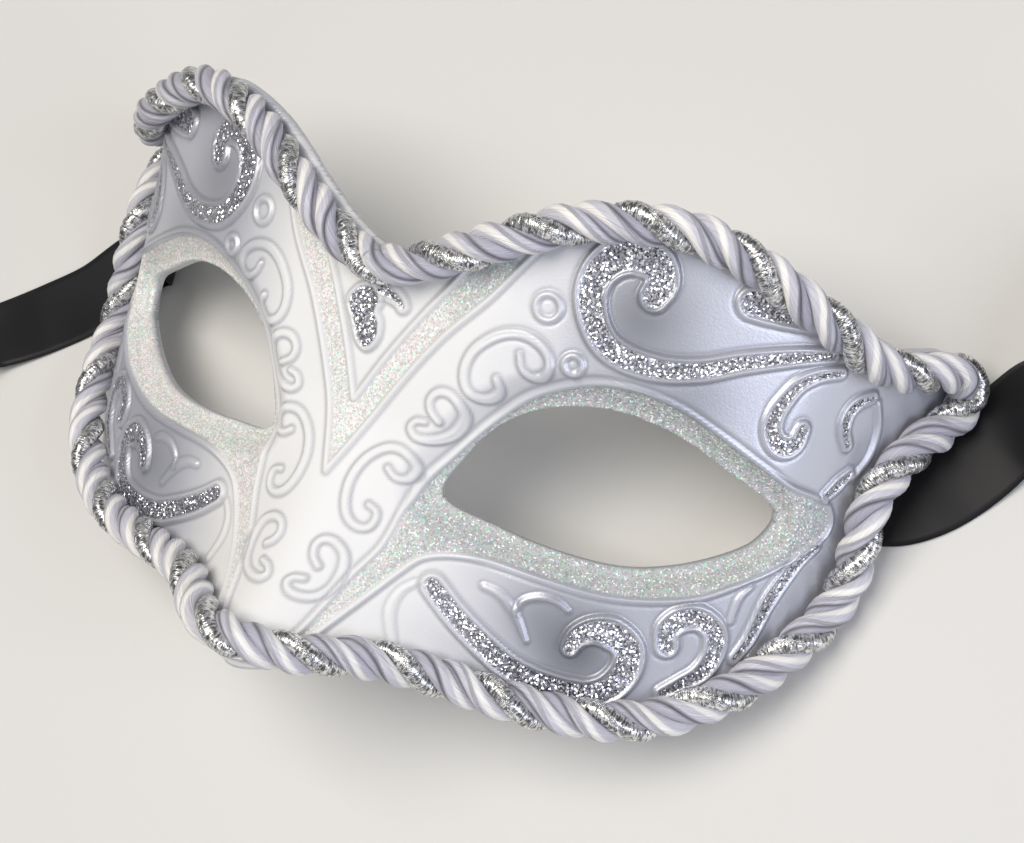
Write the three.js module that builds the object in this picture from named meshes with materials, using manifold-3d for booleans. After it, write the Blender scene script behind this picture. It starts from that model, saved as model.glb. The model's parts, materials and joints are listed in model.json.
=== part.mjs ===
// A costume-ball half mask for the eyes: a thin moulded shell with raised scrolls, a twisted
// rope trim glued round its rim and two flat satin tie ribbons. It lies face up on its rim.
// Millimetres, +X to the wearer's left, +Y towards the forehead, +Z up from the floor.
import * as THREE from 'three';
import { mergeVertices } from 'three/addons/utils/BufferGeometryUtils.js';
import Module from 'manifold-3d';

// Driving dimensions.
const SHELL = 2.0; // wall of the moulded shell
const LEAN = THREE.MathUtils.degToRad(15.3); // the mask lies tipped this far towards its nose
const HEIGHT = 36.55; // from the floor up to the middle of the bridge
const BACK = 11.4; // from the middle of the lying mask back to the middle of the bridge
const EYE_DISH = 4.2; // how deep the rim of an eye hole is sunk
const EYE_BAND = 5.5; // width of the sunk band round an eye hole
const EDGE = 2.2; // the shell runs on this far past the middle of the rope
const ROPE = 3.15; // radius over the strands of the rope trim
const ROPE_VALLEY = 2.2; // radius in the grooves between its strands
const LAY = 16.3; // length of one full turn of a strand
const GAP = 0.3; // between pieces that touch
const RIBBON_WIDE = 15;
const RIBBON_THICK = 0.6;
const COIL = 22; // outer radius of the rolled-up end of a ribbon
const COIL_HOLE = 5;

// Plan of the face form, seen from above the brow: half width, then depth.
const PLAN = [[0, -2], [10, -2.3], [20, -3.4], [40, -9.7], [60, -21.7], [66, -28.5], [71, -37.5], [76, -48.5],
  [82, -62]];
// Ridge of the nose: height up the face, then how far the ridge stands out.
const RIDGE = [[-36, 20.5], [-27, 15], [-14, 7.8], [0, 3], [9, 0.4], [14, 0], [60, 0]];
const RIDGE_WIDE = 8.5; // spread of the ridge at the bridge
const NOSTRILS_WIDER = 3; // and how much wider it is at the tip
const SLOPE = 0.12; // the forehead stands further out than the cheeks by this share of height

// The outlines are drawn flat, as if the shell were unrolled: way out along the face form
// from the middle of the nose, then height up the face.
const RIM = [[0, 32.8], [7.5, 35.2], [14.6, 39.3], [20.8, 43.3], [28, 47.3], [36.3, 50], [43.5, 51],
  [50, 50.2], [57.5, 48], [66, 44.8], [71.5, 42.5], [76.5, 41.4], [82.5, 41.7], [89, 43.1],
  [94.5, 43.8], [97.4, 40.9], [95.4, 36.9], [89.4, 31.8], [85, 26.6], [82.4, 20.5], [82.9, 13.5],
  [82.6, 7.5], [80, 1.3], [75.2, -4.2], [68.6, -11.4], [58.4, -19.1], [48, -22.4], [36, -23.5],
  [24, -23.8], [14.8, -24.8], [8, -26.8], [0, -28.3]];
const EYE = [[16.3, 1.6], [18, 7.8], [22.5, 15], [29, 19.9], [38, 22.5], [48, 22], [57, 19.2],
  [67.2, 14.6], [65.6, 10.2], [57.6, 4.2], [47.5, 0.1], [38, -0.9], [26.5, -0.4]];
const BAND = [[12.8, 1], [15, 7], [20.5, 15], [27, 21.5], [37, 26], [49, 26], [61, 22.6],
  [74.5, 17.5], [73, 9.5], [63, 1], [52, -3.6], [38, -5.2], [24, -5.2], [15, -4.5]];

// Raised scrolls of one half, drawn the same way: their line, their width at the start, middle
// and end, and how high they stand.
const SCROLLS = [
  // the large scroll of the forehead, and its hook
  { at: [[66, 39.3], [56, 35.4], [48, 31.2], [40, 30.2], [33.5, 33], [30.6, 39.5], [33.2, 44.6],
    [37, 45.6]], wide: [1.4, 2.6, 5.2], high: 0.9, steps: 17 },
  { at: [[37, 45.6], [41, 43.6], [41.6, 41], [40, 39.2]], wide: [5.2, 3.6, 0.8], high: 0.9, steps: 5 },
  // the teardrop above it
  { at: [[53, 43.8], [58, 43], [66, 40.4]], wide: [4.2, 2.8, 0.8], high: 0.8, steps: 5 },
  // the scroll on the temple
  { at: [[70.5, 37.3], [66, 35.5], [63.4, 31], [63, 27], [65, 24.8], [68, 25.6], [68.6, 28.8]],
    wide: [1, 1.8, 2.8], high: 0.8, steps: 11 },
  // the swirl on the cheek, the hook beside it and the long leaf at the side
  { at: [[21, -11.2], [29, -16.8], [37, -19.2], [44, -19.8], [49.6, -17.8], [52.6, -13.4],
    [50, -9.6], [45.6, -9.2], [42.4, -12], [43, -15.4]], wide: [3, 3.2, 1.4], high: 0.9, steps: 19 },
  { at: [[57.4, -9.6], [57, -6], [60, -3.3], [63.8, -4.4], [65, -8], [63.2, -11.6]],
    wide: [2.2, 2.2, 1.4], high: 0.8, steps: 9 },
  { at: [[76.5, 11], [73, 6.6], [70.6, 0], [69.4, -4.6]], wide: [1.2, 1.6, 1], high: 0.7, steps: 5 },
];
const V_OUTER = [[0, -0.5], [11.5, 24.2], [18.2, 38.2]]; // the band up the forehead
const V_INNER = [[0, 11.4], [5, 20.6], [10.3, 30.4]];
const DROP = { at: [-1.8, 23.8], wide: 5.2, tall: 8.6, high: 0.9 }; // beside the middle

// Each ribbon is glued inside its wing from the first to the second place, drawn flat, then goes
// through its points: place on the floor, turn and lift. A turn of 0 lies flat and 90 stands on
// edge. Its far end is rolled up, to the side that the last pair points at.
const RIBBONS = {
  ribbon_left: {
    glued: [[74, 24], [79, 23.2]],
    over: [[66.5, 20, 21, 5.6], [66.9, 20, 19, 2.7], [68.2, 20, 12, 0.8], [70.9, 20.1, 4, 0.4],
      [74.4, 21, 0, 0.1], [78.2, 23.8, 0, 0], [82, 28.6, 0, 0], [85.6, 35, -6, 0], [88.4, 42, -30, 0],
      [90.6, 48, -68, 0], [92.2, 54.5, -90, 0], [93.8, 63, -90, 0]],
    roll: [1, -0.3],
  },
  ribbon_right: {
    glued: [[-74, 24], [-79, 23.2]],
    over: [[-66.5, 20, -21, 5.6], [-66.9, 20, -19, 2.7], [-68.2, 20, -12, 0.8], [-70.9, 19.8, -4, 0.4],
      [-74.6, 17.6, 0, 0.1], [-78.4, 13, 0, 0], [-83.4, 5.6, 0, 0], [-91, -1.6, 0, 0], [-99.5, -8.6, 6, 0],
      [-104.6, -14, 35, 0], [-108.5, -19.6, 70, 0], [-112, -25.6, 90, 0], [-116, -33.5, 90, 0]],
    roll: [-1, 0.3],
  },
};

const wasm = await Module();
wasm.setup();

// A smooth line through the points of a profile: its value at x.
function along(points, x) {
  const last = points.length - 1;
  let i = 0;
  while (i < last - 1 && x > points[i + 1][0]) i++;
  const slope = (k) => {
    const a = points[Math.max(k - 1, 0)];
    const b = points[Math.min(k + 1, last)];
    return k === 0 ? 0 : (b[1] - a[1]) / (b[0] - a[0]);
  };
  const w = points[i + 1][0] - points[i][0];
  const t = (x - points[i][0]) / w;
  return THREE.MathUtils.lerp(points[i][1], points[i + 1][1], t * t * (3 - 2 * t))
    + w * t * (1 - t) * ((1 - t) * slope(i) - t * slope(i + 1));
}

// How far out the mask is wide, at each half millimetre of the way along its face form.
const UNROLLED = [[0, 0]];
for (let x = 0.5; x <= 82; x += 0.5) {
  const [way, before] = UNROLLED[UNROLLED.length - 1];
  UNROLLED.push([way + Math.hypot(0.5, along(PLAN, x) - along(PLAN, before)), x]);
}

function widthAt(way) {
  const s = Math.abs(way);
  let i = 1;
  while (i < UNROLLED.length - 1 && UNROLLED[i][0] < s) i++;
  const [s0, x0] = UNROLLED[i - 1];
  const [s1, x1] = UNROLLED[i];
  return Math.sign(way) * (x0 + (x1 - x0) * (s - s0) / (s1 - s0));
}

// A closed smooth outline through a few points.
function smoothLoop(points, count) {
  const curve = new THREE.CatmullRomCurve3(points.map(([x, y]) => new THREE.Vector3(x, y, 0)), true);
  return curve.getSpacedPoints(count).slice(0, count).map((p) => new THREE.Vector2(p.x, p.y));
}

const mirrored = ([x, y]) => [-x, y];
const EYE_OUTLINE = smoothLoop(EYE, 44);

// How deep the face is sunk here by the band round the nearer eye hole.
function eyeDish(s, u) {
  const p = new THREE.Vector3(Math.abs(s), u, 0);
  let away = Infinity;
  let inside = false;
  EYE_OUTLINE.forEach((a, i) => {
    const b = EYE_OUTLINE[(i + 1) % EYE_OUTLINE.length];
    const side = new THREE.Line3(new THREE.Vector3(a.x, a.y, 0), new THREE.Vector3(b.x, b.y, 0));
    away = Math.min(away, side.closestPointToPoint(p, true, new THREE.Vector3()).distanceTo(p));
    if ((a.y > u) !== (b.y > u) && p.x < a.x + (b.x - a.x) * (u - a.y) / (b.y - a.y)) inside = !inside;
  });
  const t = inside ? 0 : Math.min(away / EYE_BAND, 1);
  return EYE_DISH * (1 - t * t * (3 - 2 * t));
}

// A point of the front face, upright, from its place in the flat drawing.
function onFront(s, u) {
  const x = widthAt(s);
  const spread = RIDGE_WIDE + NOSTRILS_WIDER * THREE.MathUtils.clamp(-u / 27, 0, 1);
  const ridge = along(RIDGE, u) * Math.exp(-x * x / (2 * spread * spread));
  return new THREE.Vector3(x, u, along(PLAN, Math.abs(x)) + SLOPE * (u - 10) + ridge - eyeDish(s, u));
}

// The lying mask: tipped towards its nose and set on the floor.
function lying(p) {
  return p.clone().applyAxisAngle(new THREE.Vector3(1, 0, 0), LEAN).add(new THREE.Vector3(0, -BACK, HEIGHT));
}

// A place h above the front face, and the three directions there: out, up the face, off it.
function onFace(s, u, h) {
  const p = onFront(s, u);
  const out = onFront(s + 0.2, u).sub(onFront(s - 0.2, u)).normalize();
  const up = onFront(s, u + 0.2).sub(onFront(s, u - 0.2)).normalize();
  const off = out.clone().cross(up).normalize();
  return { p: lying(p.addScaledVector(off, h)), up: lying(up).sub(lying(new THREE.Vector3())),
    off: lying(off).sub(lying(new THREE.Vector3())) };
}

// Moves every corner of a geometry to where place() puts it.
function reshape(geometry, place) {
  const at = geometry.attributes.position;
  for (let i = 0; i < at.count; i++) {
    const p = place(new THREE.Vector3().fromBufferAttribute(at, i), i);
    at.setXYZ(i, p.x, p.y, p.z);
  }
  return geometry;
}

function welded(geometry) {
  geometry.deleteAttribute('normal');
  geometry.deleteAttribute('uv');
  return mergeVertices(geometry, 1e-4);
}

// While the shell is still flat it is crowned a little, so that no two facets lie in one plane.
const crown = (x, y) => 0.0006 * (x * x + y * y);

function solid(geometry, crowned) {
  const g = welded(geometry);
  if (crowned) reshape(g, (p) => p.setZ(p.z + crown(p.x, p.y)));
  return new wasm.Manifold(new wasm.Mesh({
    numProp: 3,
    vertProperties: new Float32Array(g.attributes.position.array),
    triVerts: new Uint32Array(g.index.array),
  }));
}

function geometryOf(manifold) {
  const { vertProperties, triVerts } = manifold.getMesh();
  const g = new THREE.BufferGeometry();
  g.setAttribute('position', new THREE.BufferAttribute(new Float32Array(vertProperties), 3));
  g.setIndex(new THREE.BufferAttribute(new Uint32Array(triVerts), 1));
  return g;
}

// A raised scroll on the flat shell: a low bar that follows a line and changes width.
function scroll({ at, wide, high, steps }) {
  const line = new THREE.CatmullRomCurve3(at.map(([x, y]) => new THREE.Vector3(x, y, 0)));
  const [start, middle, end] = wide;
  return reshape(new THREE.BoxGeometry(1, 1, 1, steps, 1, 1), (p) => {
    const t = p.x + 0.5;
    const width = t < 0.5 ? THREE.MathUtils.lerp(start, middle, 2 * t) : THREE.MathUtils.lerp(middle, end, 2 * t - 1);
    const tangent = line.getTangentAt(t);
    const side = new THREE.Vector3(-tangent.y, tangent.x, 0);
    return line.getPointAt(t).addScaledVector(side, p.y * width * (p.z > 0 ? 0.5 : 1)).setZ(p.z > 0 ? high : -0.5);
  });
}

// A raised ridge on the flat shell that runs all round an eye hole.
function ridgeRound(points, wide, high) {
  const steps = 36;
  const line = new THREE.CatmullRomCurve3(points.map(([x, y]) => new THREE.Vector3(x, y, 0)), true);
  return reshape(new THREE.TorusGeometry(1, 0.2, 4, steps), (_, k) => {
    const turn = -Math.PI / 2 * (Math.floor(k / (steps + 1)) % 4);
    const t = ((k % (steps + 1)) % steps) / steps;
    const tangent = line.getTangentAt(t);
    const side = new THREE.Vector3(-tangent.y, tangent.x, 0);
    return line.getPointAt(t).addScaledVector(side, wide / 2 * Math.cos(turn)).setZ(high * Math.sin(turn));
  });
}

// A wall that stands through the flat shell along an outline.
function prism(outline) {
  const g = new THREE.ExtrudeGeometry(new THREE.Shape(outline), { depth: 40, bevelEnabled: false });
  return solid(g.translate(0, 0, -20), false);
}

// The whole rim, as one closed line through both halves.
const wholeRim = [...RIM, ...RIM.slice(1, -1).reverse().map(mirrored)];
const rimLine = new THREE.CatmullRomCurve3(wholeRim.map(([x, y]) => new THREE.Vector3(x, y, 0)), true);

function shellOutline(count) {
  return Array.from({ length: count }, (_, i) => {
    const p = rimLine.getPointAt(i / count);
    const tangent = rimLine.getTangentAt(i / count);
    return new THREE.Vector2(p.x - tangent.y * EDGE, p.y + tangent.x * EDGE);
  });
}

function maskShell() {
  const slab = new THREE.BoxGeometry(2, 92, SHELL, 34, 16, 1).translate(0, 12, -SHELL / 2);
  reshape(slab, (p) => p.setX(Math.sign(p.x) * 102 * Math.abs(p.x) ** 1.15)); // finer at the nose
  let shell = solid(slab, true).intersect(prism(shellOutline(128)));
  for (const half of [(q) => q, mirrored]) {
    shell = shell.subtract(prism(smoothLoop(EYE.map(half), 40)));
    shell = shell.add(solid(ridgeRound(BAND.map(half), 1.4, 0.6), true));
    for (const bar of SCROLLS) shell = shell.add(solid(scroll({ ...bar, at: bar.at.map(half) }), true));
  }
  for (const [line, steps] of [[V_OUTER, 12], [V_INNER, 8]]) {
    const at = [...line.slice(1).reverse().map(mirrored), ...line];
    shell = shell.add(solid(scroll({ at, wide: [1.3, 1.3, 1.3], high: 0.6, steps }), true));
  }
  const drop = new THREE.SphereGeometry(1, 10, 6).scale(DROP.wide / 2, DROP.tall / 2, DROP.high);
  shell = shell.add(solid(drop.translate(...DROP.at, 0), true));
  return reshape(geometryOf(shell), (p) => {
    const placed = onFace(p.x, p.y, p.z - crown(p.x, p.y)).p;
    return placed.setZ(Math.max(placed.z, 0)); // small flat spots where the rim meets the floor
  });
}

// The rope trim: one closed body of three twisted strands, laid on the face along the rim.
function ropeTrim() {
  const around = 6;
  const steps = 222;
  const height = ROPE + GAP;
  const centre = (i) => {
    const p = rimLine.getPointAt((i % steps) / steps);
    return onFace(p.x, p.y, height);
  };
  const places = Array.from({ length: steps }, (_, i) => centre(i));
  let length = 0;
  places.forEach((place, i) => { length += place.p.distanceTo(places[(i + 1) % steps].p); });
  const turns = Math.round(length / LAY);
  return welded(reshape(new THREE.TorusGeometry(1, 0.2, around, steps), (_, k) => {
    const j = Math.floor(k / (steps + 1)) % around;
    const i = (k % (steps + 1)) % steps;
    const { p, off } = places[i];
    const tangent = places[(i + 1) % steps].p.clone().sub(places[(i + steps - 1) % steps].p).normalize();
    const side = tangent.clone().cross(off).normalize();
    const top = side.clone().cross(tangent);
    const angle = 2 * Math.PI * (j / around - turns * i / steps);
    const radius = j % 2 ? ROPE_VALLEY : ROPE;
    return p.clone().addScaledVector(side, radius * Math.cos(angle)).addScaledVector(top, radius * Math.sin(angle));
  }));
}

// The line of a ribbon up to its rolled end, and the way its width points.
function ribbonLine({ glued, over }) {
  const inside = -(SHELL + 3 * GAP + RIBBON_THICK / 2);
  const stations = [0, 0.5, 1].map((t) => {
    const s = THREE.MathUtils.lerp(glued[0][0], glued[1][0], t);
    const { p, up } = onFace(s, THREE.MathUtils.lerp(glued[0][1], glued[1][1], t), inside - 0.5 * t);
    return { p, side: up.multiplyScalar(Math.sign(s)) };
  });
  over.forEach(([x, y, turn, lift], i) => {
    const next = over[Math.min(i + 1, over.length - 1)];
    const last = over[Math.max(i - 1, 0)];
    const way = new THREE.Vector3(next[0] - last[0], next[1] - last[1], 0).normalize();
    const angle = THREE.MathUtils.degToRad(turn);
    const side = new THREE.Vector3(-way.y, way.x, 0).multiplyScalar(Math.cos(angle)).setZ(Math.sin(angle));
    const rest = (RIBBON_WIDE * Math.abs(Math.sin(angle)) + RIBBON_THICK * Math.cos(angle)) / 2;
    stations.push({ p: new THREE.Vector3(x, y, rest + lift + GAP / 2), side });
  });
  return stations;
}

function ribbon(route) {
  const stations = ribbonLine(route);
  const line = new THREE.CatmullRomCurve3(stations.map((s) => s.p));
  const sides = new THREE.CatmullRomCurve3(stations.map((s) => s.side));
  const hand = Math.sign(route.over.at(-1)[2]); // facets follow the twist, whichever way it goes
  const strip = welded(reshape(new THREE.BoxGeometry(1, RIBBON_WIDE, RIBBON_THICK, 26, 1, 1), (v) => {
    const t = v.x + 0.5;
    const tangent = line.getTangent(t);
    const side = sides.getPoint(t);
    side.addScaledVector(tangent, -side.dot(tangent)).normalize();
    const top = tangent.clone().cross(side);
    return line.getPoint(t).addScaledVector(side, v.y * hand).addScaledVector(top, v.z);
  }));
  if (hand < 0) strip.index.array.reverse();
  return strip;
}

// The rolled end of a ribbon, as the outer shape of its roll.
function ribbonRoll({ over, roll }) {
  const [before, last] = over.slice(-2);
  const way = new THREE.Vector2(last[0] - before[0], last[1] - before[1]).normalize();
  const across = new THREE.Vector2(-way.y, way.x);
  if (across.dot(new THREE.Vector2(...roll)) < 0) across.negate();
  const centre = new THREE.Vector2(last[0], last[1]).addScaledVector(across, COIL + GAP + RIBBON_THICK / 2);
  const ring = [[COIL_HOLE, 0], [COIL, 0], [COIL, RIBBON_WIDE], [COIL_HOLE, RIBBON_WIDE], [COIL_HOLE, 0]];
  const g = new THREE.LatheGeometry(ring.map(([r, z]) => new THREE.Vector2(r, z)), 18);
  return welded(g.rotateX(Math.PI / 2).translate(centre.x, centre.y, GAP / 2));
}

function material(color, roughness, metalness) {
  return new THREE.MeshStandardMaterial({ color, roughness, metalness });
}

const SHELL_PAINT = material('#cfd0dc', 0.4, 0.2); // pearl white paint on moulded plastic
const ROPE_SATIN = material('#d5d3e0', 0.45, 0); // white satin and silver strands
const RIBBON_SATIN = material('#0c0b0d', 0.4, 0); // black satin ribbon

const mask = new THREE.Group();

function add(name, geometry, look) {
  geometry.computeVertexNormals();
  const mesh = new THREE.Mesh(geometry, look);
  mesh.name = name;
  mask.add(mesh);
}

add('mask_shell', maskShell(), SHELL_PAINT);
add('rope_trim', ropeTrim(), ROPE_SATIN);
for (const [name, route] of Object.entries(RIBBONS)) {
  add(name, ribbon(route), RIBBON_SATIN);
  add(`${name}_roll`, ribbonRoll(route), RIBBON_SATIN);
}

export default mask;
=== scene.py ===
# The looks of a masquerade eye mask: pearl white paint, silver and white glitter in raised scrolls,
# a twisted satin and silver rope round the rim and black satin ribbons. Metres, as the frame; the sizes
# of the mask are named in millimetres and turned by MM.
import json
import math
from functools import partial

import bmesh
import bpy
import numpy as np
from mathutils import Matrix, Vector
from mathutils.kdtree import KDTree
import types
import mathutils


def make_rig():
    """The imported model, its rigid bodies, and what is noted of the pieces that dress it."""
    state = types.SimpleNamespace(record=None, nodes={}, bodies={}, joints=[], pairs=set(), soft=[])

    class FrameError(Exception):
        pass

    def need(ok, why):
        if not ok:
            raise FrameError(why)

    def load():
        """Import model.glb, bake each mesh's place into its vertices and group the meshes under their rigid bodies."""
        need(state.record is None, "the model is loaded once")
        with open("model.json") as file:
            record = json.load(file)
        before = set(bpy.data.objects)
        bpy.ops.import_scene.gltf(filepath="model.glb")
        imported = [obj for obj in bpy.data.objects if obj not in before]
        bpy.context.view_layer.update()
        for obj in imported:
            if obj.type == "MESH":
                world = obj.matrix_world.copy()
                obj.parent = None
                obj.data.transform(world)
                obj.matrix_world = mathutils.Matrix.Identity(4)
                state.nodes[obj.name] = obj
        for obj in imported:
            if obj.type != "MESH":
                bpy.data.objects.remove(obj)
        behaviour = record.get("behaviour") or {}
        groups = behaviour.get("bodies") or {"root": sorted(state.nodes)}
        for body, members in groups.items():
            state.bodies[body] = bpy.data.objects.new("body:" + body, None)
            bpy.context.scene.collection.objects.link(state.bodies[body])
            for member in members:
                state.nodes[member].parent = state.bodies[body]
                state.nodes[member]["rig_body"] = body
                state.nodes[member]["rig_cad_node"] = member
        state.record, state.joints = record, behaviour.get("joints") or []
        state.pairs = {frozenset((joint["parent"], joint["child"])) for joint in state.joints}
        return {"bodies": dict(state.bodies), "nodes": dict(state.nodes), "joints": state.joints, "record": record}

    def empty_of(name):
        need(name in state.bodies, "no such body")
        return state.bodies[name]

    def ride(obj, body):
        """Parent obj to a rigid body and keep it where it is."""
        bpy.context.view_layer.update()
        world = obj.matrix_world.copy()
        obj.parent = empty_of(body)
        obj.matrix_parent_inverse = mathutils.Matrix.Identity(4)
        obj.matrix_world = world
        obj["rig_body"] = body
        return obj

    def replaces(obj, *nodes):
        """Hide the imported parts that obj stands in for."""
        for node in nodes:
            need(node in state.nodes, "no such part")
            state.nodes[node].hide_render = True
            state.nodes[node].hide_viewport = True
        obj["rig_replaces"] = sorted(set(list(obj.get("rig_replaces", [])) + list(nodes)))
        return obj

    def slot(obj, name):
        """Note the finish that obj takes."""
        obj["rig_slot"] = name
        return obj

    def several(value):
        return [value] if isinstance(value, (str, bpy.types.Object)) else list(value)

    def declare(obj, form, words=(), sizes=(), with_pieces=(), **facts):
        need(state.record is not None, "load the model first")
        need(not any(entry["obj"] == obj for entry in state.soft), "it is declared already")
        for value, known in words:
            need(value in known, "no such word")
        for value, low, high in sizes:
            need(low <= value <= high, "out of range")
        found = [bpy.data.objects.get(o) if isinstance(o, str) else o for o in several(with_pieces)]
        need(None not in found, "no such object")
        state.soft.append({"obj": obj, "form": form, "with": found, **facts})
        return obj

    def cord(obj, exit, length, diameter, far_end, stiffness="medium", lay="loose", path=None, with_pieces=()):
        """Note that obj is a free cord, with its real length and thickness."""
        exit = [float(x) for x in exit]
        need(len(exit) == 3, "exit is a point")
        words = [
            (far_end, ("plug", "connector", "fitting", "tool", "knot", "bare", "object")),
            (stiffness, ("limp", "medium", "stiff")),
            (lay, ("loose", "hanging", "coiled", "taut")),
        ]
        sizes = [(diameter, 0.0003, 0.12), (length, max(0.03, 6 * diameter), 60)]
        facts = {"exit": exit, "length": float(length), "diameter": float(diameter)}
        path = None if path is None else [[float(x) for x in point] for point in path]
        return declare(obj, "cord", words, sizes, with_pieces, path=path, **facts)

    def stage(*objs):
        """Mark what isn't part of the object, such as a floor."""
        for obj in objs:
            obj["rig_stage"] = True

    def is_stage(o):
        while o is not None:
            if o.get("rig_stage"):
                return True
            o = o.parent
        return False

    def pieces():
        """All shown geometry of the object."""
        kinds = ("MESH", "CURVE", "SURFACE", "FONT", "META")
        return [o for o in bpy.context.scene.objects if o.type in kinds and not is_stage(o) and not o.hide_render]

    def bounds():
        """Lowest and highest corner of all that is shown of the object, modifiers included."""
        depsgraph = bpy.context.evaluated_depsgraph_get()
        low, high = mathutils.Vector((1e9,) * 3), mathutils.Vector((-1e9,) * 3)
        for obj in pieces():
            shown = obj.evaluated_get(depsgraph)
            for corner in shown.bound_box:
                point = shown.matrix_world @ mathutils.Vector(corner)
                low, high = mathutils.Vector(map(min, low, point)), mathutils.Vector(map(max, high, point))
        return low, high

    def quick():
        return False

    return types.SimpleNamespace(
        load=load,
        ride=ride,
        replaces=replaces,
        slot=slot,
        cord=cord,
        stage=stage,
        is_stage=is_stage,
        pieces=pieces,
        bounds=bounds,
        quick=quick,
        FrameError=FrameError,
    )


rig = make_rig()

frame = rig.load()
CAD_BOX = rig.bounds()
MM = 0.001

# Camera: the photo's viewing angle, looking down on the lying mask.
CAMERA_AT = Vector((129.6, -31.3, 263.54)) * MM
CAMERA_RIGHT = Vector((0.853, 0.409, -0.325))
CAMERA_AHEAD = Vector((-0.413, 0.146, -0.899))
CAMERA_LENS = 59.77
SENSOR_WIDE = 36


def make_camera():
    data = bpy.data.cameras.new("camera")
    data.lens = CAMERA_LENS
    data.sensor_width = SENSOR_WIDE
    data.clip_start = 0.01
    data.clip_end = 20
    cam = bpy.data.objects.new("camera", data)
    bpy.context.scene.collection.objects.link(cam)
    ahead = CAMERA_AHEAD.normalized()
    right = (CAMERA_RIGHT - CAMERA_RIGHT.dot(ahead) * ahead).normalized()
    up = right.cross(ahead)
    turn = Matrix((right, up, -ahead)).transposed()
    cam.matrix_world = Matrix.Translation(CAMERA_AT) @ turn.to_4x4()
    bpy.context.scene.camera = cam


make_camera()

# Driving sizes, the same as the solids'.
SHELL = 2.0  # wall of the moulded shell
LEAN = math.radians(15.3)  # the mask lies tipped this far towards its nose
HEIGHT = 36.55  # from the floor up to the middle of the bridge
BACK = 11.4  # from the middle of the lying mask back to the middle of the bridge
EYE_DISH = 4.2  # how deep the rim of an eye hole is sunk
EYE_BAND = 5.5  # width of the sunk band round an eye hole
EDGE = 2.2  # the shell runs on this far past the middle of the rope
ROPE = 3.15  # radius over the strands of the rope trim
LAY = 16.3  # length of one full turn of a strand
GAP = 0.3  # between pieces that touch
RIBBON_WIDE = 15
RIBBON_THICK = 0.6  # of the ribbon's solid; the satin itself is thinner
COIL = 22  # outer radius of the rolled-up end of a ribbon
COIL_HOLE = 5
RIDGE_WIDE = 8.5  # spread of the nose's ridge at the bridge
NOSTRILS_WIDER = 3  # and how much wider it is at the tip
NOSE_TALL = 27  # from the bridge down to where the ridge is widest
SLOPE = 0.12  # the forehead stands further out than the cheeks by this share of height
SLOPE_FROM = 10  # the height up the face from which that is reckoned

# Plan of the face form, seen from above the brow: half width, then depth.
PLAN = [(0, -2), (10, -2.3), (20, -3.4), (40, -9.7), (60, -21.7), (66, -28.5), (71, -37.5), (76, -48.5),
        (82, -62)]
# Ridge of the nose: height up the face, then how far the ridge stands out.
RIDGE = [(-36, 20.5), (-27, 15), (-14, 7.8), (0, 3), (9, 0.4), (14, 0), (60, 0)]
# The outlines are drawn flat, as if the shell were unrolled: way out along the face form from the
# middle of the nose, then height up the face.
RIM = [(0, 32.8), (7.5, 35.2), (14.6, 39.3), (20.8, 43.3), (28, 47.3), (36.3, 50), (43.5, 51),
       (50, 50.2), (57.5, 48), (66, 44.8), (71.5, 42.5), (76.5, 41.4), (82.5, 41.7), (89, 43.1),
       (94.5, 43.8), (97.4, 40.9), (95.4, 36.9), (89.4, 31.8), (85, 26.6), (82.4, 20.5), (82.9, 13.5),
       (82.6, 7.5), (80, 1.3), (75.2, -4.2), (68.6, -11.4), (58.4, -19.1), (48, -22.4), (36, -23.5),
       (24, -23.8), (14.8, -24.8), (8, -26.8), (0, -28.3)]
EYE = [(16.3, 1.6), (18, 7.8), (22.5, 15), (29, 19.9), (38, 22.5), (48, 22), (57, 19.2), (67.2, 14.6),
       (65.6, 10.2), (57.6, 4.2), (47.5, 0.1), (38, -0.9), (26.5, -0.4)]
# The frosted band round an eye, which runs on down the side of the nose.
BAND = [(13.9, 3), (16.6, 8), (21.2, 15.1), (26.1, 20.6), (31.4, 24), (36.9, 26.2), (42.9, 26.9),
        (49.3, 26.2), (56.1, 24.2), (63.3, 21.7), (69, 19.9), (74, 19.3), (77.4, 18.4), (79, 15.6),
        (77.4, 12.2), (72, 7.9), (65.8, 3.4), (60.4, -0.3), (53.2, -3.1), (45.7, -4.7), (36.3, -5.1),
        (26.8, -5.2), (21.5, -6.3), (18.1, -8), (15.9, -10.8), (12.2, -16.9), (9.1, -22.8),
        (7.6, -26.5), (6.2, -26.5), (7.1, -22.7), (9.7, -13.8), (12.1, -8.1), (13.2, -2)]

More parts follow.
